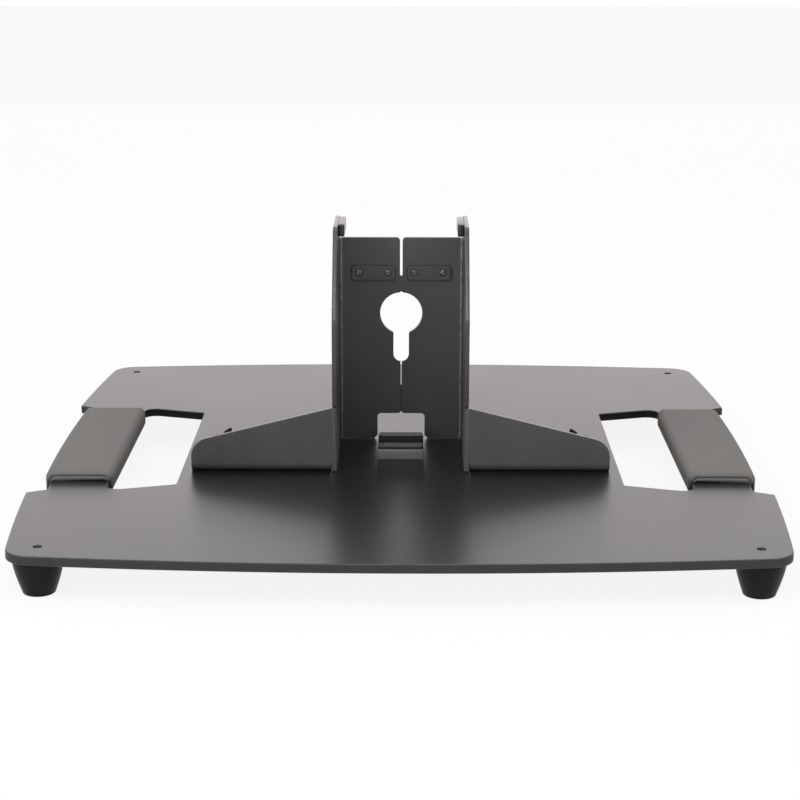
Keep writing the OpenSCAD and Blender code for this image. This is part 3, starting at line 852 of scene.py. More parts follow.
# The trough's near-black coat is a painted shade.
TROUGH_SHADE_COAT = DullCoat("trough_coat", (0.007, 0.006, 0.006), (0.007, 0.006, 0.006))
GRIP_RUBBER = MouldedRubber("grip_rubber", (0.153, 0.146, 0.14), (0.17, 0.162, 0.156), roughness=0.75, specular=0.2)
FOOT_RUBBER = MouldedRubber("foot_rubber", (0.005, 0.005, 0.005), (0.012, 0.012, 0.012), roughness=0.38, grain=1800.0,
                            specular=0.13)
PAD_SKIN = MouldedRubber("pad_skin", (0.045, 0.045, 0.046), (0.06, 0.06, 0.061), roughness=0.4, grain=2200.0)
STRIP_SKIN = MouldedRubber("strip_skin", (0.085, 0.081, 0.082), (0.11, 0.105, 0.106), roughness=0.6, grain=2200.0,
                           specular=0.35)
CHEEK_SKIN = MouldedRubber("cheek_skin", (0.012, 0.012, 0.012), (0.022, 0.022, 0.022), roughness=0.26, grain=2200.0)
BLACK_ZINC = PlatedSteel("black_zinc")
WORN_ZINC = PlatedSteel("worn_zinc", (0.12, 0.12, 0.122), (0.5, 0.5, 0.5), roughness=0.22)


@dataclass
class FoldedSheet:
    """One bracket as it is cut and folded: rear panel half, side plate, wing and flange.

    The flat pattern has s along the fold path and z up. The path runs from the middle of the panel outwards, round
    the rear bend, forwards along the side plate, round the front bend and outwards along the wing. Below the wing
    the pattern goes on downwards and folds back into the flange.
    """

    sheet: float = 3.0
    bend: float = 2.7
    front_bend: float = 0.5
    front_crisp: float = 0.85
    channel_half: float = 43.4
    edge: float = 0.4
    relief: float = 0.3
    lean_start: float = 104.0
    lean_angle: float = 29.7
    side_corner: float = 8.0
    wing_root: float = 45.5
    wing_fall: float = 24.7
    wing_corner: float = 13.0
    panel_height: float = 147.6
    seam: float = 0.03
    gap: float = 0.9
    gap_length: float = 18.0
    top_gap: float = 1.8
    top_gap_length: float = 28.0
    gap_taper: float = 1.0
    vee: float = 1.0
    key_height: float = 93.0
    key_radius: float = 15.0
    slot_radius: float = 5.5
    slot_drop: float = 30.0
    neck_fillet: float = 1.6
    notch_half: float = 17.0
    notch_height: float = 19.0
    notch_flare: float = 2.4
    notch_corner: float = 2.5
    seam_bevel: float = 1.6
    top_corner: float = 2.5
    blend_corner: float = 12.0
    edge_clear: float = 0.25
    flange_corner: float = 4.0
    flange_margin: float = 14.0
    bolt_hole: float = 3.3
    pad_hole: float = 1.35
    bend_steps: int = 10
    bend_highlight: float = 2.0
    box: Box = field(default_factory=lambda: Box.of("right_bracket"))

    def __post_init__(self) -> None:
        """Works out the fold path from the frame and the sheet's sizes."""
        self.reach, self.back, self.top = self.box.high
        _, self.front, self.deck = self.box.low
        self.outer, self.mid = self.bend + self.sheet, self.bend + self.sheet / 2
        self.front_outer, self.front_mid = self.front_bend + self.sheet, self.front_bend + self.sheet / 2
        self.arc, self.front_arc = self.mid * QUARTER_TURN, self.front_mid * QUARTER_TURN
        self.rear_bend_y = self.back - self.outer
        self.flange_bend_y, self.front_bend_y = self.front + self.outer, self.front + self.front_outer
        self.s0 = self.channel_half - self.bend
        self.s1 = self.s0 + self.arc
        self.s2 = self.s1 + self.rear_bend_y - self.front_bend_y
        self.s3 = self.s2 + self.front_arc
        self.wing_x = self.channel_half + self.front_outer
        self.flange_z = self.deck + self.outer
        self.panel_top = self.deck + self.panel_height
        self.side_root = self.deck + self.wing_root + self.relief

    def s_on_wing(self, x: float) -> float:
        """Pattern coordinate of a place on the wing."""
        return self.s3 + x - self.wing_x

    def s_on_side(self, y: float) -> float:
        """Pattern coordinate of a place on the side plate."""
        return self.s1 + self.rear_bend_y - y

    def z_on_flange(self, y: float) -> float:
        """Pattern coordinate of a place on the flange."""
        return self.flange_z - self.arc - (y - self.flange_bend_y)

    def keyhole(self) -> np.ndarray:
        """Right half of the keyhole and its slot, from the slot's foot up to the top of the round hole.

        The neck fillet touches the slot's side and the round hole from inside the sheet: its centre is the fillet's
        radius beyond the slot's side and the sum of both radii away from the hole's centre.

        Returns:
            Points in s and z, N by 2.
        """
        centre_z = self.deck + self.key_height
        low = -math.acos(self.gap / 2 / self.slot_radius)
        fx = self.slot_radius + self.neck_fillet
        fz = -math.sqrt((self.key_radius + self.neck_fillet) ** 2 - fx**2)
        turn = math.atan2(fz, fx)
        high = math.acos((self.seam / 2 + self.vee) / self.key_radius)
        return np.vstack([
            arc(0, centre_z - self.slot_drop, self.slot_radius, low, 0, 8),
            arc(fx, centre_z + fz, self.neck_fillet, HALF_TURN, HALF_TURN + turn, 4),
            arc(0, centre_z, self.key_radius, turn, high, 32)[1:],
        ])

    def pattern(self) -> np.ndarray:
        """Outline of the flat pattern, from the keyhole round by the panel's top, the wing and the panel's foot.

        Returns:
            Points in s and z, N by 2.
        """
        seam, gap, top_gap = self.seam / 2, self.gap / 2, self.top_gap / 2
        key_z = self.deck + self.key_height
        gap_foot = key_z - self.slot_drop - self.slot_radius - self.gap_length
        top_gap_foot = self.panel_top - self.top_gap_length
        low, notch_top = self.deck + self.edge_clear, self.deck + self.notch_height
        lean_z = self.deck + self.lean_start
        lean_y = self.front + (self.top - lean_z) * math.tan(math.radians(self.lean_angle))
        slope = self.wing_fall / (self.reach - self.channel_half - self.sheet)
        root, tip = (self.deck + self.wing_root - drop for drop in (self.bend * slope, self.wing_fall))
        s_end, front_s = self.s_on_wing(self.reach), self.s_on_side(self.front)
        flange_s = self.s_on_wing(self.wing_x + 2 * self.relief)
        relief_s, corner = flange_s - self.relief, self.flange_corner
        flange_end = self.z_on_flange(Box.of("wing_bolt_right_outer").centre[1] + self.flange_margin)
        after_key = corner_arcs([
            (seam, key_z + self.key_radius + self.vee, 0), (seam, top_gap_foot, 0),
            (top_gap, top_gap_foot + self.gap_taper, 0), (top_gap, self.panel_top, self.top_corner),
            (self.s1, self.panel_top, 0), (self.s1, self.panel_top + self.relief, self.relief / 2),
            (self.s1 - self.outer, self.panel_top + self.relief, 0), (self.s1 - self.outer, self.top, 2),
            (self.s_on_side(lean_y), self.top, self.side_corner), (front_s, lean_z, self.blend_corner),
            (front_s, self.side_root, 0.6), (self.s2, self.side_root, 0.4), (self.s2, root, 0),
            (self.s3, root, self.blend_corner), (s_end, tip, self.wing_corner), (s_end, flange_end, corner),
            (flange_s, flange_end, corner), (flange_s, self.flange_z, 0.1), (relief_s, self.flange_z, 0.1),
            (relief_s, low, 0.3), (self.notch_half + self.notch_flare, low, 0),
            (self.notch_half, low + self.notch_flare, 0), (self.notch_half, notch_top, self.notch_corner),
            (seam + self.seam_bevel, notch_top, 0), (seam, notch_top + self.seam_bevel, 0), (seam, gap_foot, 0),
            (gap, gap_foot + self.gap_taper, 0),
        ], 7)
        return np.vstack([self.keyhole(), after_key])

    def holes(self) -> list[np.ndarray]:
        """Makes the holes of the flat pattern.

        Returns:
            Bolt holes in the flange and screw holes in the panel.
        """
        bolts = (Box.of(f"wing_bolt_right_{place}").centre for place in ("inner", "outer"))
        x, _, z = Box.of("right_panel_pad").centre
        return [*(circle(self.s_on_wing(bolt[0]), self.z_on_flange(bolt[1]), self.bolt_hole, 28) for bolt in bolts),
                *(circle(x + shift, z, self.pad_hole, 16) for shift in (-PAD_PITCH / 2, PAD_PITCH / 2))]

    def fold(self, flat: np.ndarray) -> np.ndarray:
        """Folds points (s, z, n) of the pattern into place.

        On a bend the distance along the path becomes an angle, d / mid radius, and a point turns about the bend's
        axis at the inner or outer radius that its depth n gives. Elsewhere the path goes straight on. The front bend
        is crisper: its radius is divided by the larger of cos and sin of the angle, raised to a power below 1.

        Args:
            flat: points of the pattern with their depth n, 0 on the face towards the bar and the front.

        Returns:
            Points in the row frame, in millimetres.
        """
        s, z, n = flat.T
        a = np.clip(s - self.s0, 0, self.arc) / self.mid
        x = self.s0 + (self.bend + n) * np.sin(a) + np.minimum(s - self.s0, 0)
        y = self.rear_bend_y + (self.bend + n) * np.cos(a) - np.clip(s - self.s1, 0, None)
        b = np.clip(s - self.s2, 0, self.front_arc) / self.front_mid
        past = s > self.s2
        crisp = (self.front_outer - n) / np.maximum(np.cos(b), np.sin(b)) ** self.front_crisp
        x = np.where(past, self.wing_x - crisp * np.cos(b) + np.maximum(s - self.s3, 0), x)
        y = np.where(past, self.front_bend_y - crisp * np.sin(b), y)
        rear_tab = (z > self.panel_top + self.relief / 2) & (s < self.s1)
        tab = rear_tab | (z > self.side_root - self.relief) & past
        x = np.where(tab, self.channel_half + n, x)
        y = np.where(tab, self.rear_bend_y + self.s1 - s, y)
        flange = (z < self.flange_z) & (s > self.s_on_wing(self.wing_x + 1.5 * self.relief))
        w = self.flange_z - z
        c = np.clip(w, 0, self.arc) / self.mid
        y = np.where(flange, self.flange_bend_y - (self.outer - n) * np.cos(c) + np.maximum(w - self.arc, 0), y)
        z = np.where(flange, self.flange_z - (self.outer - n) * np.sin(c), z)
        return np.stack([x, y, z], -1)

    def shell(self, side: Side) -> Shell:
        """Folded bracket of one side, with its rear bend marked for a painted highlight.

        Args:
            side: which half of the stand it is for.

        Returns:
            Its closed shell.
        """
        t = np.linspace(0, 1, self.bend_steps + 1)
        bends = ((self.s0, self.arc), (self.s2, self.front_arc))
        across = [Chord(0, s) for start, length in bends for s in start + length * t]
        down = [Chord(1, z, self.s3) for z in self.flange_z - self.arc * t]
        flat = slab(self.pattern(), self.holes(), self.sheet, self.edge, (*across, *down))
        s, z, n = flat.points.T
        below_tab = (z < self.panel_top + self.relief / 2) & (n < self.edge)
        # Painted highlight: the rear bend's faces get an edge mark that rises in the bend's middle, which the bracket
        # coat turns into a pale speckled line.
        bend_highlight_share = self.bend_highlight * np.sin(HALF_TURN * np.clip((s - self.s0) / self.arc, 0, 1)) ** 2
        flat.edge = np.maximum(flat.edge, np.where(below_tab, bend_highlight_share, 0))
        return flat.mapped(self.fold(flat.points) * [side.value, 1, 1]).outward()

    def build(self) -> None:
        """Makes both brackets."""
        coat = BRACKET_COAT.build()
        for side in Side:
            name = side.name.lower()
            make_piece(f"{name}_folded_bracket", self.shell(side), coat, [f"{name}_bracket"])


@dataclass
class BasePlate:
    """Steel plate with four bulged edges, two hand openings and two side notches."""

    bulge: float = 2100.0
    width: float = 500.0
    depth: float = 500.0
    corner: float = 18.0
    edge: float = 0.7
    setback: float = 13.5
    strap: float = 40.5
    opening: float = 46.0
    opening_inner: float = 182.8
    opening_outer: float = 205.0
    opening_taper: float = 36.0
    opening_outer_r: float = 8.0
    opening_inner_r: float = 3.0
    notch: float = 210.4
    notch_lean: float = 27.2
    notch_inner_r: float = 3.0
    ear_r: float = 1.6
    foot_x: float = 219.0
    foot_y: float = 220.0
    foot_hole: float = 2.7
    bolt_hole: float = 3.05
    # Edge mark of the plate's outer rims: it turns them to the paler rim tone and wall colour, a painted light.
    worn: float = 0.45
    # Reach within which openings lose their edge mark, for painted shade on their walls.
    clear: tuple[float, float] = (197.5, 104.0)
    wall_lean: float = 0.5
    box: Box = field(default_factory=lambda: Box.of("base_plate"))

    def sag(self, along: float | np.ndarray, setback: float = 0.0) -> float | np.ndarray:
        """How far a bulged edge has fallen back at a distance along it: R - sqrt(R^2 - y^2)."""
        radius = self.bulge - setback
        return radius - np.sqrt(radius**2 - along**2)

    def quadrant(self) -> np.ndarray:
        """Right rear quarter of the outline, from the strap's middle to the middle of the rear edge.

        The straps' and edges' points are x = w - (R - sqrt(R^2 - y^2)), and the corner is an arc of its own whose
        centre is as far from both edges.

        Returns:
            Points within the CAD plate, N by 2.
        """
        half_w, half_d = self.width / 2, self.depth / 2
        a, b, reach = self.bulge - half_w, self.bulge - half_d, self.bulge - self.corner
        d = math.hypot(a, b)
        h = math.sqrt(reach**2 - d**2 / 4)
        cx, cy = -a / 2 + h * b / d, -b / 2 + h * a / d
        side_angle, rear_angle = math.atan2(cy, cx + a), math.atan2(cy + b, cx)
        strap_w, root_y = half_w - self.setback, self.notch / 2
        lean = math.tan(math.radians(self.notch_lean))
        ear_y = root_y
        for _ in range(6):
            ear_x = half_w - self.sag(ear_y)
            ear_y = root_y + (ear_x - strap_w) * lean
        along = np.linspace(0, root_y - 6, 16)
        before, after = root_y - 8, ear_y + 8
        notch = corner_arcs([
            (strap_w - self.sag(before, self.setback), before, 0),
            (strap_w - self.sag(root_y, self.setback), root_y - 1.2, self.notch_inner_r),
            (ear_x, ear_y, self.ear_r), (half_w - self.sag(after), after, 0),
        ], 6)
        quarter = np.vstack([
            np.stack([strap_w - self.sag(along, self.setback), along], -1), notch[1:-1],
            arc(-a, 0, self.bulge, math.asin((ear_y + 10) / self.bulge), side_angle, 13),
            arc(cx, cy, self.corner, side_angle, rear_angle, 11)[1:-1],
            arc(0, -b, self.bulge, rear_angle, QUARTER_TURN, 23),
        ])
        return np.minimum(quarter, self.box.high[:2])

    def outline(self) -> np.ndarray:
        """Whole outline, from one quarter and its mirror images.

        Returns:
            Points of the outline, N by 2.
        """
        quarter = self.quadrant()
        upper = np.vstack([quarter, (quarter[:-1] * [-1, 1])[::-1]])
        return np.vstack([upper, (upper[1:-1] * [1, -1])[::-1]])

    def hand_opening(self, side: Side) -> np.ndarray:
        """Outline of one hand opening.

        Args:
            side: which half of the stand it is in.

        Returns:
            Points of the outline, N by 2.
        """
        outer = self.width / 2 - self.setback - self.strap
        inner = outer - self.opening
        short, tall, taper = self.opening_inner / 2, self.opening_outer / 2, inner + self.opening_taper
        half = [(inner, short, self.opening_inner_r), (taper, tall, 6), (outer, tall, self.opening_outer_r)]
        return corner_arcs([(x, -y, r) for x, y, r in half] + half[::-1]) * [side.value, 1]

    def holes(self) -> list[np.ndarray]:
        """Makes the openings of the plate.

        Returns:
            Hand openings, foot screw holes and bolt holes.
        """
        bolts = (Box.of(f"wing_bolt_{name}").centre for name in BOLT_ANGLES)
        feet = ((x, y) for x in (-self.foot_x, self.foot_x) for y in (-self.foot_y, self.foot_y))
        return [*(self.hand_opening(side) for side in Side), *(circle(x, y, self.foot_hole, 28) for x, y in feet),
                *(circle(x, y, self.bolt_hole, 24) for x, y, _ in bolts)]

    def build(self) -> None:
        """Makes the plate, with a duller coat on faces whose normal leans less than 30 degrees from level, paler on
        the outer walls as a painted light and darker in the openings as a painted shade.
        """
        shell = slab(self.outline(), self.holes(), self.box.size[2], self.edge, steps=4, worn=self.worn)
        # Painted shade: openings in the middle lose their edge mark, so their walls and rims keep the darker colours.
        inner = np.all(np.abs(shell.points[:, :2]) < self.clear, axis=1)
        shell.edge = np.where(inner, 0.0, shell.edge)
        shell = shell.moved(0, 0, self.box.low[2]).outward()
        piece = make_piece("steel_base_plate", shell, PLATE_COAT.build(), ["base_plate"])
        second_coat(piece.data, CUT_WALL_LIGHT_AND_SHADE.build(), abs(of_faces(piece.data, "normal")[:, 2]) < self.wall_lean)


@dataclass
class Grip:
    """Rubber sleeve round a strap, with rounded ends, a groove round each end face and a parting line."""

    length: float = 170.0
    inner_wall: float = 2.2
    outer_wall: float = 4.0
    over: float = 6.2
    under: float = 4.0
    top_r: float = 4.6
    low_r: float = 2.4
    tuck: float = 2.4
    end_r: float = 2.4
    groove: float = 0.9
    groove_w: float = 1.1
    lean_in: float = 0.9
    parting: float = 0.35
    parting_up: float = 2.5
    ridge: float = 0.25
    ridge_half: float = 0.4
    tunnel_gap: float = 0.05
    tunnel_stops: tuple[float, ...] = (0.0, 0.2, 0.5, 0.72, 1.0)
    face_shares: Triple = (0.4, 0.75, 1.0)
    shade_down: float = 3.0
    shade_run: float = 3.5
    inner_shade: float = 0.85
    end_run: float = 1.6
    end_shade: float = 0.9
    steps: int = 6
    plate: BasePlate = field(default_factory=BasePlate)

    def __post_init__(self) -> None:
        """Takes the strap's sides and the plate's heights."""
        self.deck, self.floor = self.plate.box.high[2], self.plate.box.low[2]
        self.strap_outer = self.plate.width / 2 - self.plate.setback
        self.strap_inner = self.strap_outer - self.plate.strap

    def section(self, inset: float) -> np.ndarray:
        """Section of the sleeve in X and Z at its middle.

        The parting line is a small vee in the outer side and a small ridge on the inner one.

        Args:
            inset: how far the section is shrunk.

        Returns:
            Points of the section, N by 2.
        """
        top, low = self.deck + self.over - inset, self.floor - self.under + inset
        inner, outer = self.strap_inner - self.inner_wall + inset, self.strap_outer + self.outer_wall - inset
        top_r, low_r = self.top_r - 0.2 * inset, max(self.low_r - inset, 0.4)
        seam = self.floor + self.parting_up
        return corner_arcs([
            (inner, top, top_r), (inner, seam + self.ridge_half, 0), (inner - self.ridge, seam, 0),
            (inner, seam - self.ridge_half, 0),
            (inner, self.floor, 1.5), (inner + self.tuck, low, low_r), (outer, low, low_r),
            (outer, seam - self.parting, 0), (outer - self.parting, seam, 0), (outer, seam + self.parting, 0),
            (outer, top, top_r),
        ], self.steps)

    def tunnel(self, count: int) -> np.ndarray:
        """Section of the strap's tunnel.

        Args:
            count: how many points the sleeve's section has.

        Returns:
            As many points, spread over the tunnel's four sides.
        """
        t = np.arange(count) / count
        low, high = self.floor - self.tunnel_gap, self.deck + self.tunnel_gap
        inner, outer = self.strap_inner - self.tunnel_gap, self.strap_outer + self.tunnel_gap
        corners = ((inner, inner, outer, outer, inner), (high, low, low, high, high))
        return np.stack([np.interp(t, self.tunnel_stops, values) for values in corners], -1)

    def end_rows(self, tunnel: np.ndarray) -> list[tuple[np.ndarray, float]]:
        """Rows of the rear end, from its rounded edge through the groove and over the end face to the tunnel.

        The edge is inset by r (1 - cos a) while it runs on by r sin a. The face leans in towards the strap.

        Args:
            tunnel: section of the strap's tunnel.

        Returns:
            Sections with their places along the sleeve.
        """
        half, r = self.length / 2, self.end_r
        crest = half - self.groove / 2
        path = [(r * (1 - math.cos(a)), crest - r * (1 - math.sin(a))) for a in np.linspace(0, QUARTER_TURN, 6)[1:]]
        path += [(r + 0.1, crest - self.groove), (r + self.groove_w, crest - self.groove),
                 (r + self.groove_w + 0.1, half - 0.15), (r + self.groove_w + 0.5, half)]
        last = self.section(path[-1][0])
        return [*((self.section(inset), y) for inset, y in path),
                *((last * (1 - k) + tunnel * k, half - self.lean_in * k**2) for k in self.face_shares)]

    def shell(self, side: Side) -> Shell:
        """Sleeve of one side as a closed tube of tube.

        P(u, v): u runs round the section and v along the sleeve, round the end's edge, down its face, back through
        the tunnel and up the other end. Every outer X is shifted by the strap's bulge at that Y in proportion to how
        far across the section it lies, so the inner side stays straight.

        Args:
            side: which half of the stand it is for.

        Returns:
            Its closed shell.
        """
        middle = self.section(0.0)
        count = len(middle)
        tunnel = self.tunnel(count)
        straight = self.length / 2 - self.end_r - self.groove / 2
        rows = [(middle, y) for y in np.linspace(-straight, straight, 40)]
        rear = self.end_rows(tunnel)
        rows += [*rear, (tunnel, 0.0), *((section, -y) for section, y in reversed(rear))]
        points = np.stack([np.concatenate([s, np.full((count, 1), y)], 1) for s, y in rows])
        x, z, y = points[..., 0], points[..., 1], points[..., 2]
        share = np.clip((x - self.strap_inner) / self.plate.strap, 0, 1)
        bowed = (x - self.plate.sag(y, self.plate.setback) * share) * side.value
        faces = grid_faces(len(rows), count, wrap_rows=True)
        return Shell(np.stack([bowed, y, z], -1).reshape(-1, 3), faces, self.shaded(x, y, z).reshape(-1)).outward()

    def shaded(self, x: np.ndarray, y: np.ndarray, z: np.ndarray) -> np.ndarray:
        """How deep in shade each point lies.

        It grows down the inner side below the rounded top, except on the parting ridge, and down both end faces
        beyond the groove.

        Args:
            x: distance of each point from the stand's middle.
            y: place of each point along the sleeve.
            z: height of each point.

        Returns:
            A value from 0 to 1 for each point.
        """
        down = np.clip((self.deck + self.over - self.shade_down - z) / self.shade_run, 0, 1)
        ridge = np.clip(1 - abs(z - self.floor - self.parting_up) / 0.45, 0, 1)
        inner_side = np.where(x < self.strap_inner, down * (1 - ridge), 0)
        past = abs(y) > self.length / 2 - self.groove - 0.05
        low = np.clip((self.deck + self.end_run - z) / self.end_run, 0, 1)
        in_groove = np.isclose(abs(y), self.length / 2 - self.groove * 1.5)
        ends = np.where(past, np.maximum(low * self.end_shade, in_groove), 0)
        return np.maximum(inner_side * self.inner_shade, ends)

    def build(self) -> None:
        """Makes both grips."""
        rubber = GRIP_RUBBER.build()
        for side in Side:
            name = side.name.lower()
            make_piece(f"{name}_rubber_grip", self.shell(side), rubber, [f"{name}_grip"])


@dataclass
class Feet:
    """Four tapered rubber feet with their washers and screws."""

    top_d: float = 32.0
    floor_d: float = 19.6
    recess_d: float = 12.4
    recess: float = 10.0
    bore_d: float = 5.6
    swell: float = 1.4
    edge: float = 1.2
    steps: int = 14
    washer_radii: tuple[float, ...] = (2.6, 5.4, 5.7, 5.7)
    head: PanHead = PanHead(4.6, 2.8, 2.4)
    shank_r: float = 2.5
    pitch: float = 0.8
    screw_sunk: float = 0.8

    def section(self, height: float) -> np.ndarray:
        """Section of a foot: its radius is R - (R - r)(1 - z / h)^p, and a recess is sunk in its sole.

        Args:
            height: height of the foot.

        Returns:
            Points in radius and height, N by 2.
        """
        z = np.linspace(self.edge, height - 0.5, self.steps)
        big, small, bore, recess = (d / 2 for d in (self.top_d, self.floor_d, self.bore_d, self.recess_d))
        side = big - (big - small) * (1 - z / height) ** self.swell
        a = np.linspace(0, QUARTER_TURN, 5)[:-1]
        sole = np.stack([side[0] - self.edge * (1 - np.sin(a)), self.edge * (1 - np.cos(a))], -1)
        return np.vstack([
            [[recess + 0.4, 0.0]], sole, np.stack([side, z], -1), [[big - 0.4, height - 0.05], [big - 0.8, height]],
            [[bore, height], [bore, self.recess], [recess - 0.3, self.recess], [recess, self.recess - 0.3],
             [recess, 0.4]],
        ])

    def build(self) -> None:
        """Makes the feet, their washers and their screws."""
        rubber, steel = FOOT_RUBBER.build(), BLACK_ZINC.build()
        places = {name: (*Box.of(f"foot_{name}").centre[:2], 0) for name in CORNERS}
        foot = ring(self.section(Box.of("foot_front_left").high[2]))
        for name, place in places.items():
            make_piece(f"rubber_foot_{name}", foot.moved(*place), rubber, [f"foot_{name}"])
        washers = Box.of("foot_washers")
        seat, end = washers.low[2], Box.of("foot_screws").high[2] - self.screw_sunk
        disc = washer(seat, washers.high[2], *self.washer_radii)
        head = self.head.shell().turned(FACING["-Z"]).moved(0, 0, seat)
        screw = Shell.joined([head, shank(self.shank_r, seat, end, self.pitch)])
        for shell, name in ((disc, "foot_washer"), (screw, "foot_screw")):
            made = Shell.joined([shell.moved(*place) for place in places.values()])
            make_piece(f"{name}_set", made, steel, [f"{name}s"])


@dataclass
class Pads:
    """Screwed pads of the panel and the bar rest, and the cheek pads inside the side plates."""

    corner: float = 2.0
    edge: float = 0.35
    head: PanHead = PanHead(2.2, 1.0, 1.3)
    head_gap: float = 0.12
    cheek_corner: float = 1.2
    cheek_edge: float = 0.6

    def pad(self, long_side: float, short_side: float, thickness: float, corner: float, edge: float,
            seats: tuple[np.ndarray, ...] = ()) -> Shell:
        """Pad about its own centre, its lower face at z = 0.

        Args:
            long_side: length along the drawing's X.
            short_side: length along the drawing's Y.
            thickness: its thickness.
            corner: radius of its corners.
            edge: radius of its rims.
            seats: holes for screw heads.

        Returns:
            A closed shell.
        """
        x, y = long_side / 2, short_side / 2
        outline = corner_arcs([(-x, -y, corner), (x, -y, corner), (x, y, corner), (-x, y, corner)])
        return slab(outline, [*seats], thickness, edge)

    def build(self) -> None:
        """Makes the four screwed pads, their screws and the two cheek pads."""
        shifts = (-PAD_PITCH / 2, PAD_PITCH / 2)
        seats = tuple(circle(shift, 0, self.head.radius + self.head_gap, 28) for shift in shifts)
        head = self.head.shell()
        skins = {"panel": PAD_SKIN.build(), "rest": STRIP_SKIN.build()}
        cheek, steel = CHEEK_SKIN.build(), WORN_ZINC.build()
        heads = {"panel": [], "rest": []}
        for name in ("left_panel_pad", "right_panel_pad", "front_rest_pad", "rear_rest_pad"):
            kind, box = name.split("_")[1], Box.of(name)
            (x, y, z), (width, depth, height) = box.centre, box.size
            if kind == "panel":
                depth, height, turn, place = height, depth, FACING["-Y"], (x, box.high[1], z)
            else:
                turn, place = FACING["+Z"], (x, y, box.low[2])
            shell = self.pad(width, depth, height, self.corner, self.edge, seats).turned(turn).moved(*place).outward()
            make_piece(f"{name}_moulded", shell, skins[kind], [name])
            flush = [head.moved(shift, 0, height - self.head.height) for shift in shifts]
            heads[kind].append(Shell.joined(flush).turned(turn).moved(*place))
        for kind, made in heads.items():
            make_piece(f"{kind}_pad_screw_set", Shell.joined(made), steel, [f"{kind}_pad_screws"])
        for side in Side:
            name = side.name.lower()
            box = Box.of(f"{name}_top_pad")
            thickness, depth, height = box.size
            inward, seat = ("-X", box.high[0]) if side is Side.RIGHT else ("+X", box.low[0])
            shell = self.pad(depth, height, thickness, self.cheek_corner, self.cheek_edge).turned(FACING[inward])
            shell = shell.moved(seat, *box.centre[1:]).outward()
            make_piece(f"{name}_cheek_pad", shell, cheek, [f"{name}_top_pad"])


@dataclass
class BarRest:
    """Saddle of bent sheet: two ledges with a trough between them."""

    sheet: float = 2.5
    ledge: float = 12.0
    trough: float = 15.4
    lean: float = 3.0
    corner: float = 2.0
    edge: float = 0.4
    margin: float = 0.4
    below: float = 0.15
    end_lean: float = 0.5
    box: Box = field(default_factory=lambda: Box.of("bar_rest"))

    def section(self) -> np.ndarray:
        """Section of the saddle in Y and Z.

        Returns:
            Points of the section, N by 2.
        """
        (_, y0, deck), (_, y3, top) = self.box.low, self.box.high
        y1, y2 = y0 + self.ledge, y0 + self.ledge + self.trough
        under, sole, half = top - self.sheet, deck + self.sheet, self.sheet / 2
        return corner_arcs([
            (y0, deck, 0.2), (y0, top, self.corner), (y1, top, 1.2), (y1 + self.lean, sole, 1.2),
            (y2 - self.lean, sole, 1.2), (y2, top, 1.2), (y3, top, self.corner), (y3, deck, 0.2),
            (y3 - self.sheet, deck, 0.2), (y3 - self.sheet, under, 0.4), (y2 + half, under, 0.8),
            (y2 - self.lean + half, deck, 0.8), (y1 + self.lean - half, deck, 0.8), (y1 - half, under, 0.8),
            (y0 + self.sheet, under, 0.4), (y0 + self.sheet, deck, 0.2),
        ], 5)

    def build(self) -> None:
        """Makes the saddle, with a painted shade: a near-black coat on every face between the ledges that lies below
        their tops.
        """
        shell = slab(self.section(), [], self.box.size[0], self.edge, worn=0.0).turned(FACING["+X"])
        shell = shell.moved(self.box.low[0], 0, 0).outward()
        mesh = make_piece("bar_rest_saddle", shell, REST_COAT.build(), ["bar_rest"]).data
        _, y, z = of_faces(mesh, "center").T / MM
        first = self.box.low[1] + self.ledge
        within = (y > first - self.margin) & (y < first + self.trough + self.margin)
        within &= (z < self.box.high[2] - self.below) & (abs(of_faces(mesh, "normal")[:, 0]) < self.end_lean)
        # Painted shade in the trough.
        second_coat(mesh, TROUGH_SHADE_COAT.build(), within)


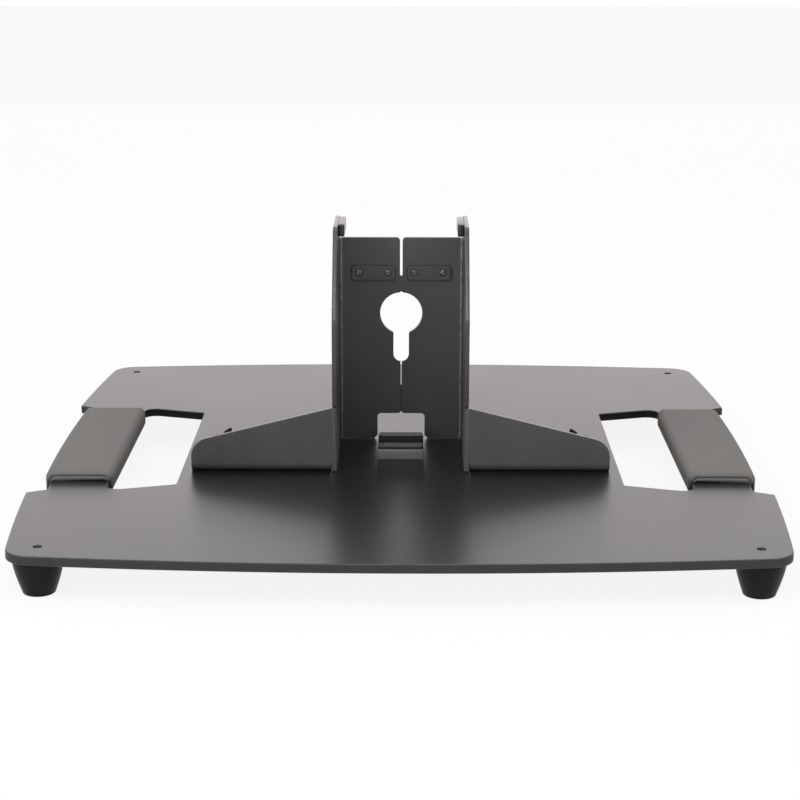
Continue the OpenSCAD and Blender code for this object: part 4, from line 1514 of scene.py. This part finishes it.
@dataclass
class WingBolts:
    """Wing bolts with their washers."""

    hub_r: float = 6.0
    hub_h: float = 8.0
    span: float = 27.0
    height: float = 18.0
    valley: float = 3.8
    wing_t: float = 1.2
    wing_edge: float = 0.55
    shank_r: float = 3.0
    pitch: float = 1.0
    washer_radii: tuple[float, ...] = (3.3, 7.3, 7.5, 7.4)

    def wings(self) -> Shell:
        """Both wings as one slab with a fully rounded rim, in X and Z about the bolt's axis.

        Returns:
            Their closed shell.
        """
        half = corner_arcs([
            (0.6, self.hub_h - 0.6, 0), (self.valley, self.height - 1.0, 1.5), (self.span / 2, self.height, 1.8),
            (self.span / 2 - 0.6, self.height - 7.0, 3.0), (self.hub_r - 0.6, 3.0, 0), (self.hub_r - 1.4, 1.0, 0),
        ], 5)
        outline = np.vstack([half, (half * [-1, 1])[::-1]])
        shell = slab(outline, [], self.wing_t, self.wing_edge, steps=4).moved(0, 0, -self.wing_t / 2)
        return shell.turned(FACING["-Y"]).outward()

    def shell(self, low: float, seat: float) -> Shell:
        """Whole bolt about its axis, from the end of its shank to its wings.

        Args:
            low: height of the shank's end.
            seat: height of the washer that the hub stands on.

        Returns:
            Its closed shell.
        """
        hub = spun(np.array([
            [0, 0], [self.hub_r - 0.4, 0], [self.hub_r, 0.4], [self.hub_r - 0.5, 4.0],
            [self.hub_r - 1.3, self.hub_h - 1.6], [self.hub_r - 2.2, self.hub_h - 0.4],
            [self.hub_r - 3.4, self.hub_h], [0, self.hub_h],
        ]))
        return Shell.joined([hub.moved(0, 0, seat), self.wings().moved(0, 0, seat),
                             shank(self.shank_r, low, seat + 0.2, self.pitch)])

    def build(self) -> None:
        """Makes the bolts, each on its own body, and their washers."""
        steel = BLACK_ZINC.build()
        washers = Box.of("wing_bolt_washers")
        low, seat = washers.low[2], washers.high[2]
        disc = washer(low, seat, *self.washer_radii)
        rings = []
        for name, angle in BOLT_ANGLES.items():
            node = f"wing_bolt_{name}"
            box = Box.of(node)
            place = (*box.centre[:2], 0)
            shell = self.shell(box.low[2], seat).turned(turn_z(angle)).moved(*place)
            make_piece(f"{node}_cast", shell, steel, [node], node)
            rings.append(disc.moved(*place))
        make_piece("wing_bolt_washer_set", Shell.joined(rings), steel, ["wing_bolt_washers"])


@dataclass(frozen=True)
class Lamp:
    """Rectangular area lamp aimed at a point and out of the camera's sight, in metres."""

    name: str
    place: Triple
    size: tuple[float, float]
    level: float
    aim: Triple = (0, 0, 0.1)
    tint: Triple = (1, 1, 1)

    def build(self) -> None:
        """Adds the lamp, with a power of pi times its area times the brightness of its face, where 1 is white."""
        data = bpy.data.lights.new(self.name, "AREA")
        data.shape = "RECTANGLE"
        data.size, data.size_y = self.size
        data.energy = math.pi * data.size * data.size_y * self.level
        data.color = self.tint
        lamp = placed(self.name, data)
        lamp.visible_camera = False
        turn = (Vector(self.aim) - Vector(self.place)).to_track_quat("-Z", "Y").to_matrix().to_4x4()
        lamp.matrix_world = Matrix.Translation(self.place) @ turn


LAMPS = (
    Lamp("overhead", (0.0, 0.4, 2.4), (2.4, 2.4), 0.8),
    Lamp("left_fill", (-1.8, -1.2, 1.5), (1.2, 1.2), 4.6),
    Lamp("right_fill", (1.8, -1.2, 1.5), (1.2, 1.2), 3.4),
    Lamp("key", (-0.1, -1.7, 1.8), (0.5, 0.5), 7.0),
    Lamp("front_fill", (-0.9, -1.5, 0.5), (0.8, 0.5), 3.4),
    Lamp("back_band", (0.0, 2.6, 0.75), (4.4, 1.2), 0.75, (0, 0, 0.75), (1.0, 0.87, 0.86)),
)


@dataclass
class Studio:
    """Floor, lights, world and the camera at the photograph's viewing angle."""

    focal_px: float = 1931.14
    image_px: float = 800.0
    sensor: float = 36.0
    place: Triple = (5.80, -1326.85, 412.77)
    pitch: float = 14.747
    yaw: float = 0.2789
    roll: float = 0.0982
    soft_level: float = 0.5
    floor_half: float = 6.0
    floor_glow: float = 0.88

    def camera(self) -> None:
        """Sets the camera: yaw about Z, then pitch down, then roll about the view."""
        data = bpy.data.cameras.new("photo_camera")
        data.sensor_width = self.sensor
        data.lens = self.focal_px / self.image_px * self.sensor
        data.clip_end = 50.0
        camera = placed("photo_camera", data)
        turns = zip((self.yaw, 90.0 - self.pitch, self.roll), "ZXZ")
        yaw, pitch, roll = (Matrix.Rotation(math.radians(angle), 4, axis) for angle, axis in turns)
        camera.matrix_world = Matrix.Translation(Vector(self.place) * MM) @ yaw @ pitch @ roll
        bpy.context.scene.camera = camera

    def floor(self) -> None:
        """Plain pale floor that keeps a soft shadow and shows white to the camera and in reflections."""
        half = self.floor_half
        mesh = bpy.data.meshes.new("floor")
        mesh.from_pydata([(-half, -half, 0), (half, -half, 0), (half, half, 0), (-half, half, 0)], [], [(0, 1, 2, 3)])
        floor = placed("floor", mesh)
        t = NodeTree.of_material("floor_paper")
        paper = t.nodes["Principled BSDF"]
        for name, value in (("Base Color", (0.9, 0.9, 0.9)), ("Roughness", 0.9), ("Specular IOR Level", 0.1)):
            t.put(value, paper.inputs[name])
        mix = t.add("MixShader", Fac=t.maths("MULTIPLY", t.plain_rays(), self.floor_glow))
        t.put(paper.outputs[0], mix.inputs[1])
        t.put(t.add("Emission").outputs[0], mix.inputs[2])
        t.put(mix.outputs[0], t.nodes["Material Output"].inputs["Surface"])
        mesh.materials.append(t.owner)

    def world(self) -> None:
        """White world for the camera and in reflections, and a plain soft level for the rest."""
        world = bpy.data.worlds.new("studio")
        bpy.context.scene.world = world
        t = NodeTree(world)
        background = t.nodes["Background"]
        t.put((1, 1, 1), background.inputs["Color"])
        t.put(t.ramp(t.plain_rays(), 0.0, 1.0, self.soft_level), background.inputs["Strength"])

    def build(self) -> None:
        """Sets the camera, the floor, the world and the lamps."""
        bpy.context.scene.view_settings.view_transform = "Standard"
        self.camera()
        self.floor()
        self.world()
        for lamp in LAMPS:
            lamp.build()


def main() -> None:
    """Builds every piece in order."""
    logging.basicConfig(level=logging.INFO, format="%(name)s: %(message)s")
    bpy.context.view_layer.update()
    for part in (Studio, BasePlate, FoldedSheet, Grip, Feet, Pads, BarRest, WingBolts):
        part().build()
    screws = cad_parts["bar_rest_screws"].data.materials
    screws.clear()
    screws.append(BLACK_ZINC.build())


if __name__ == "__main__":
    main()
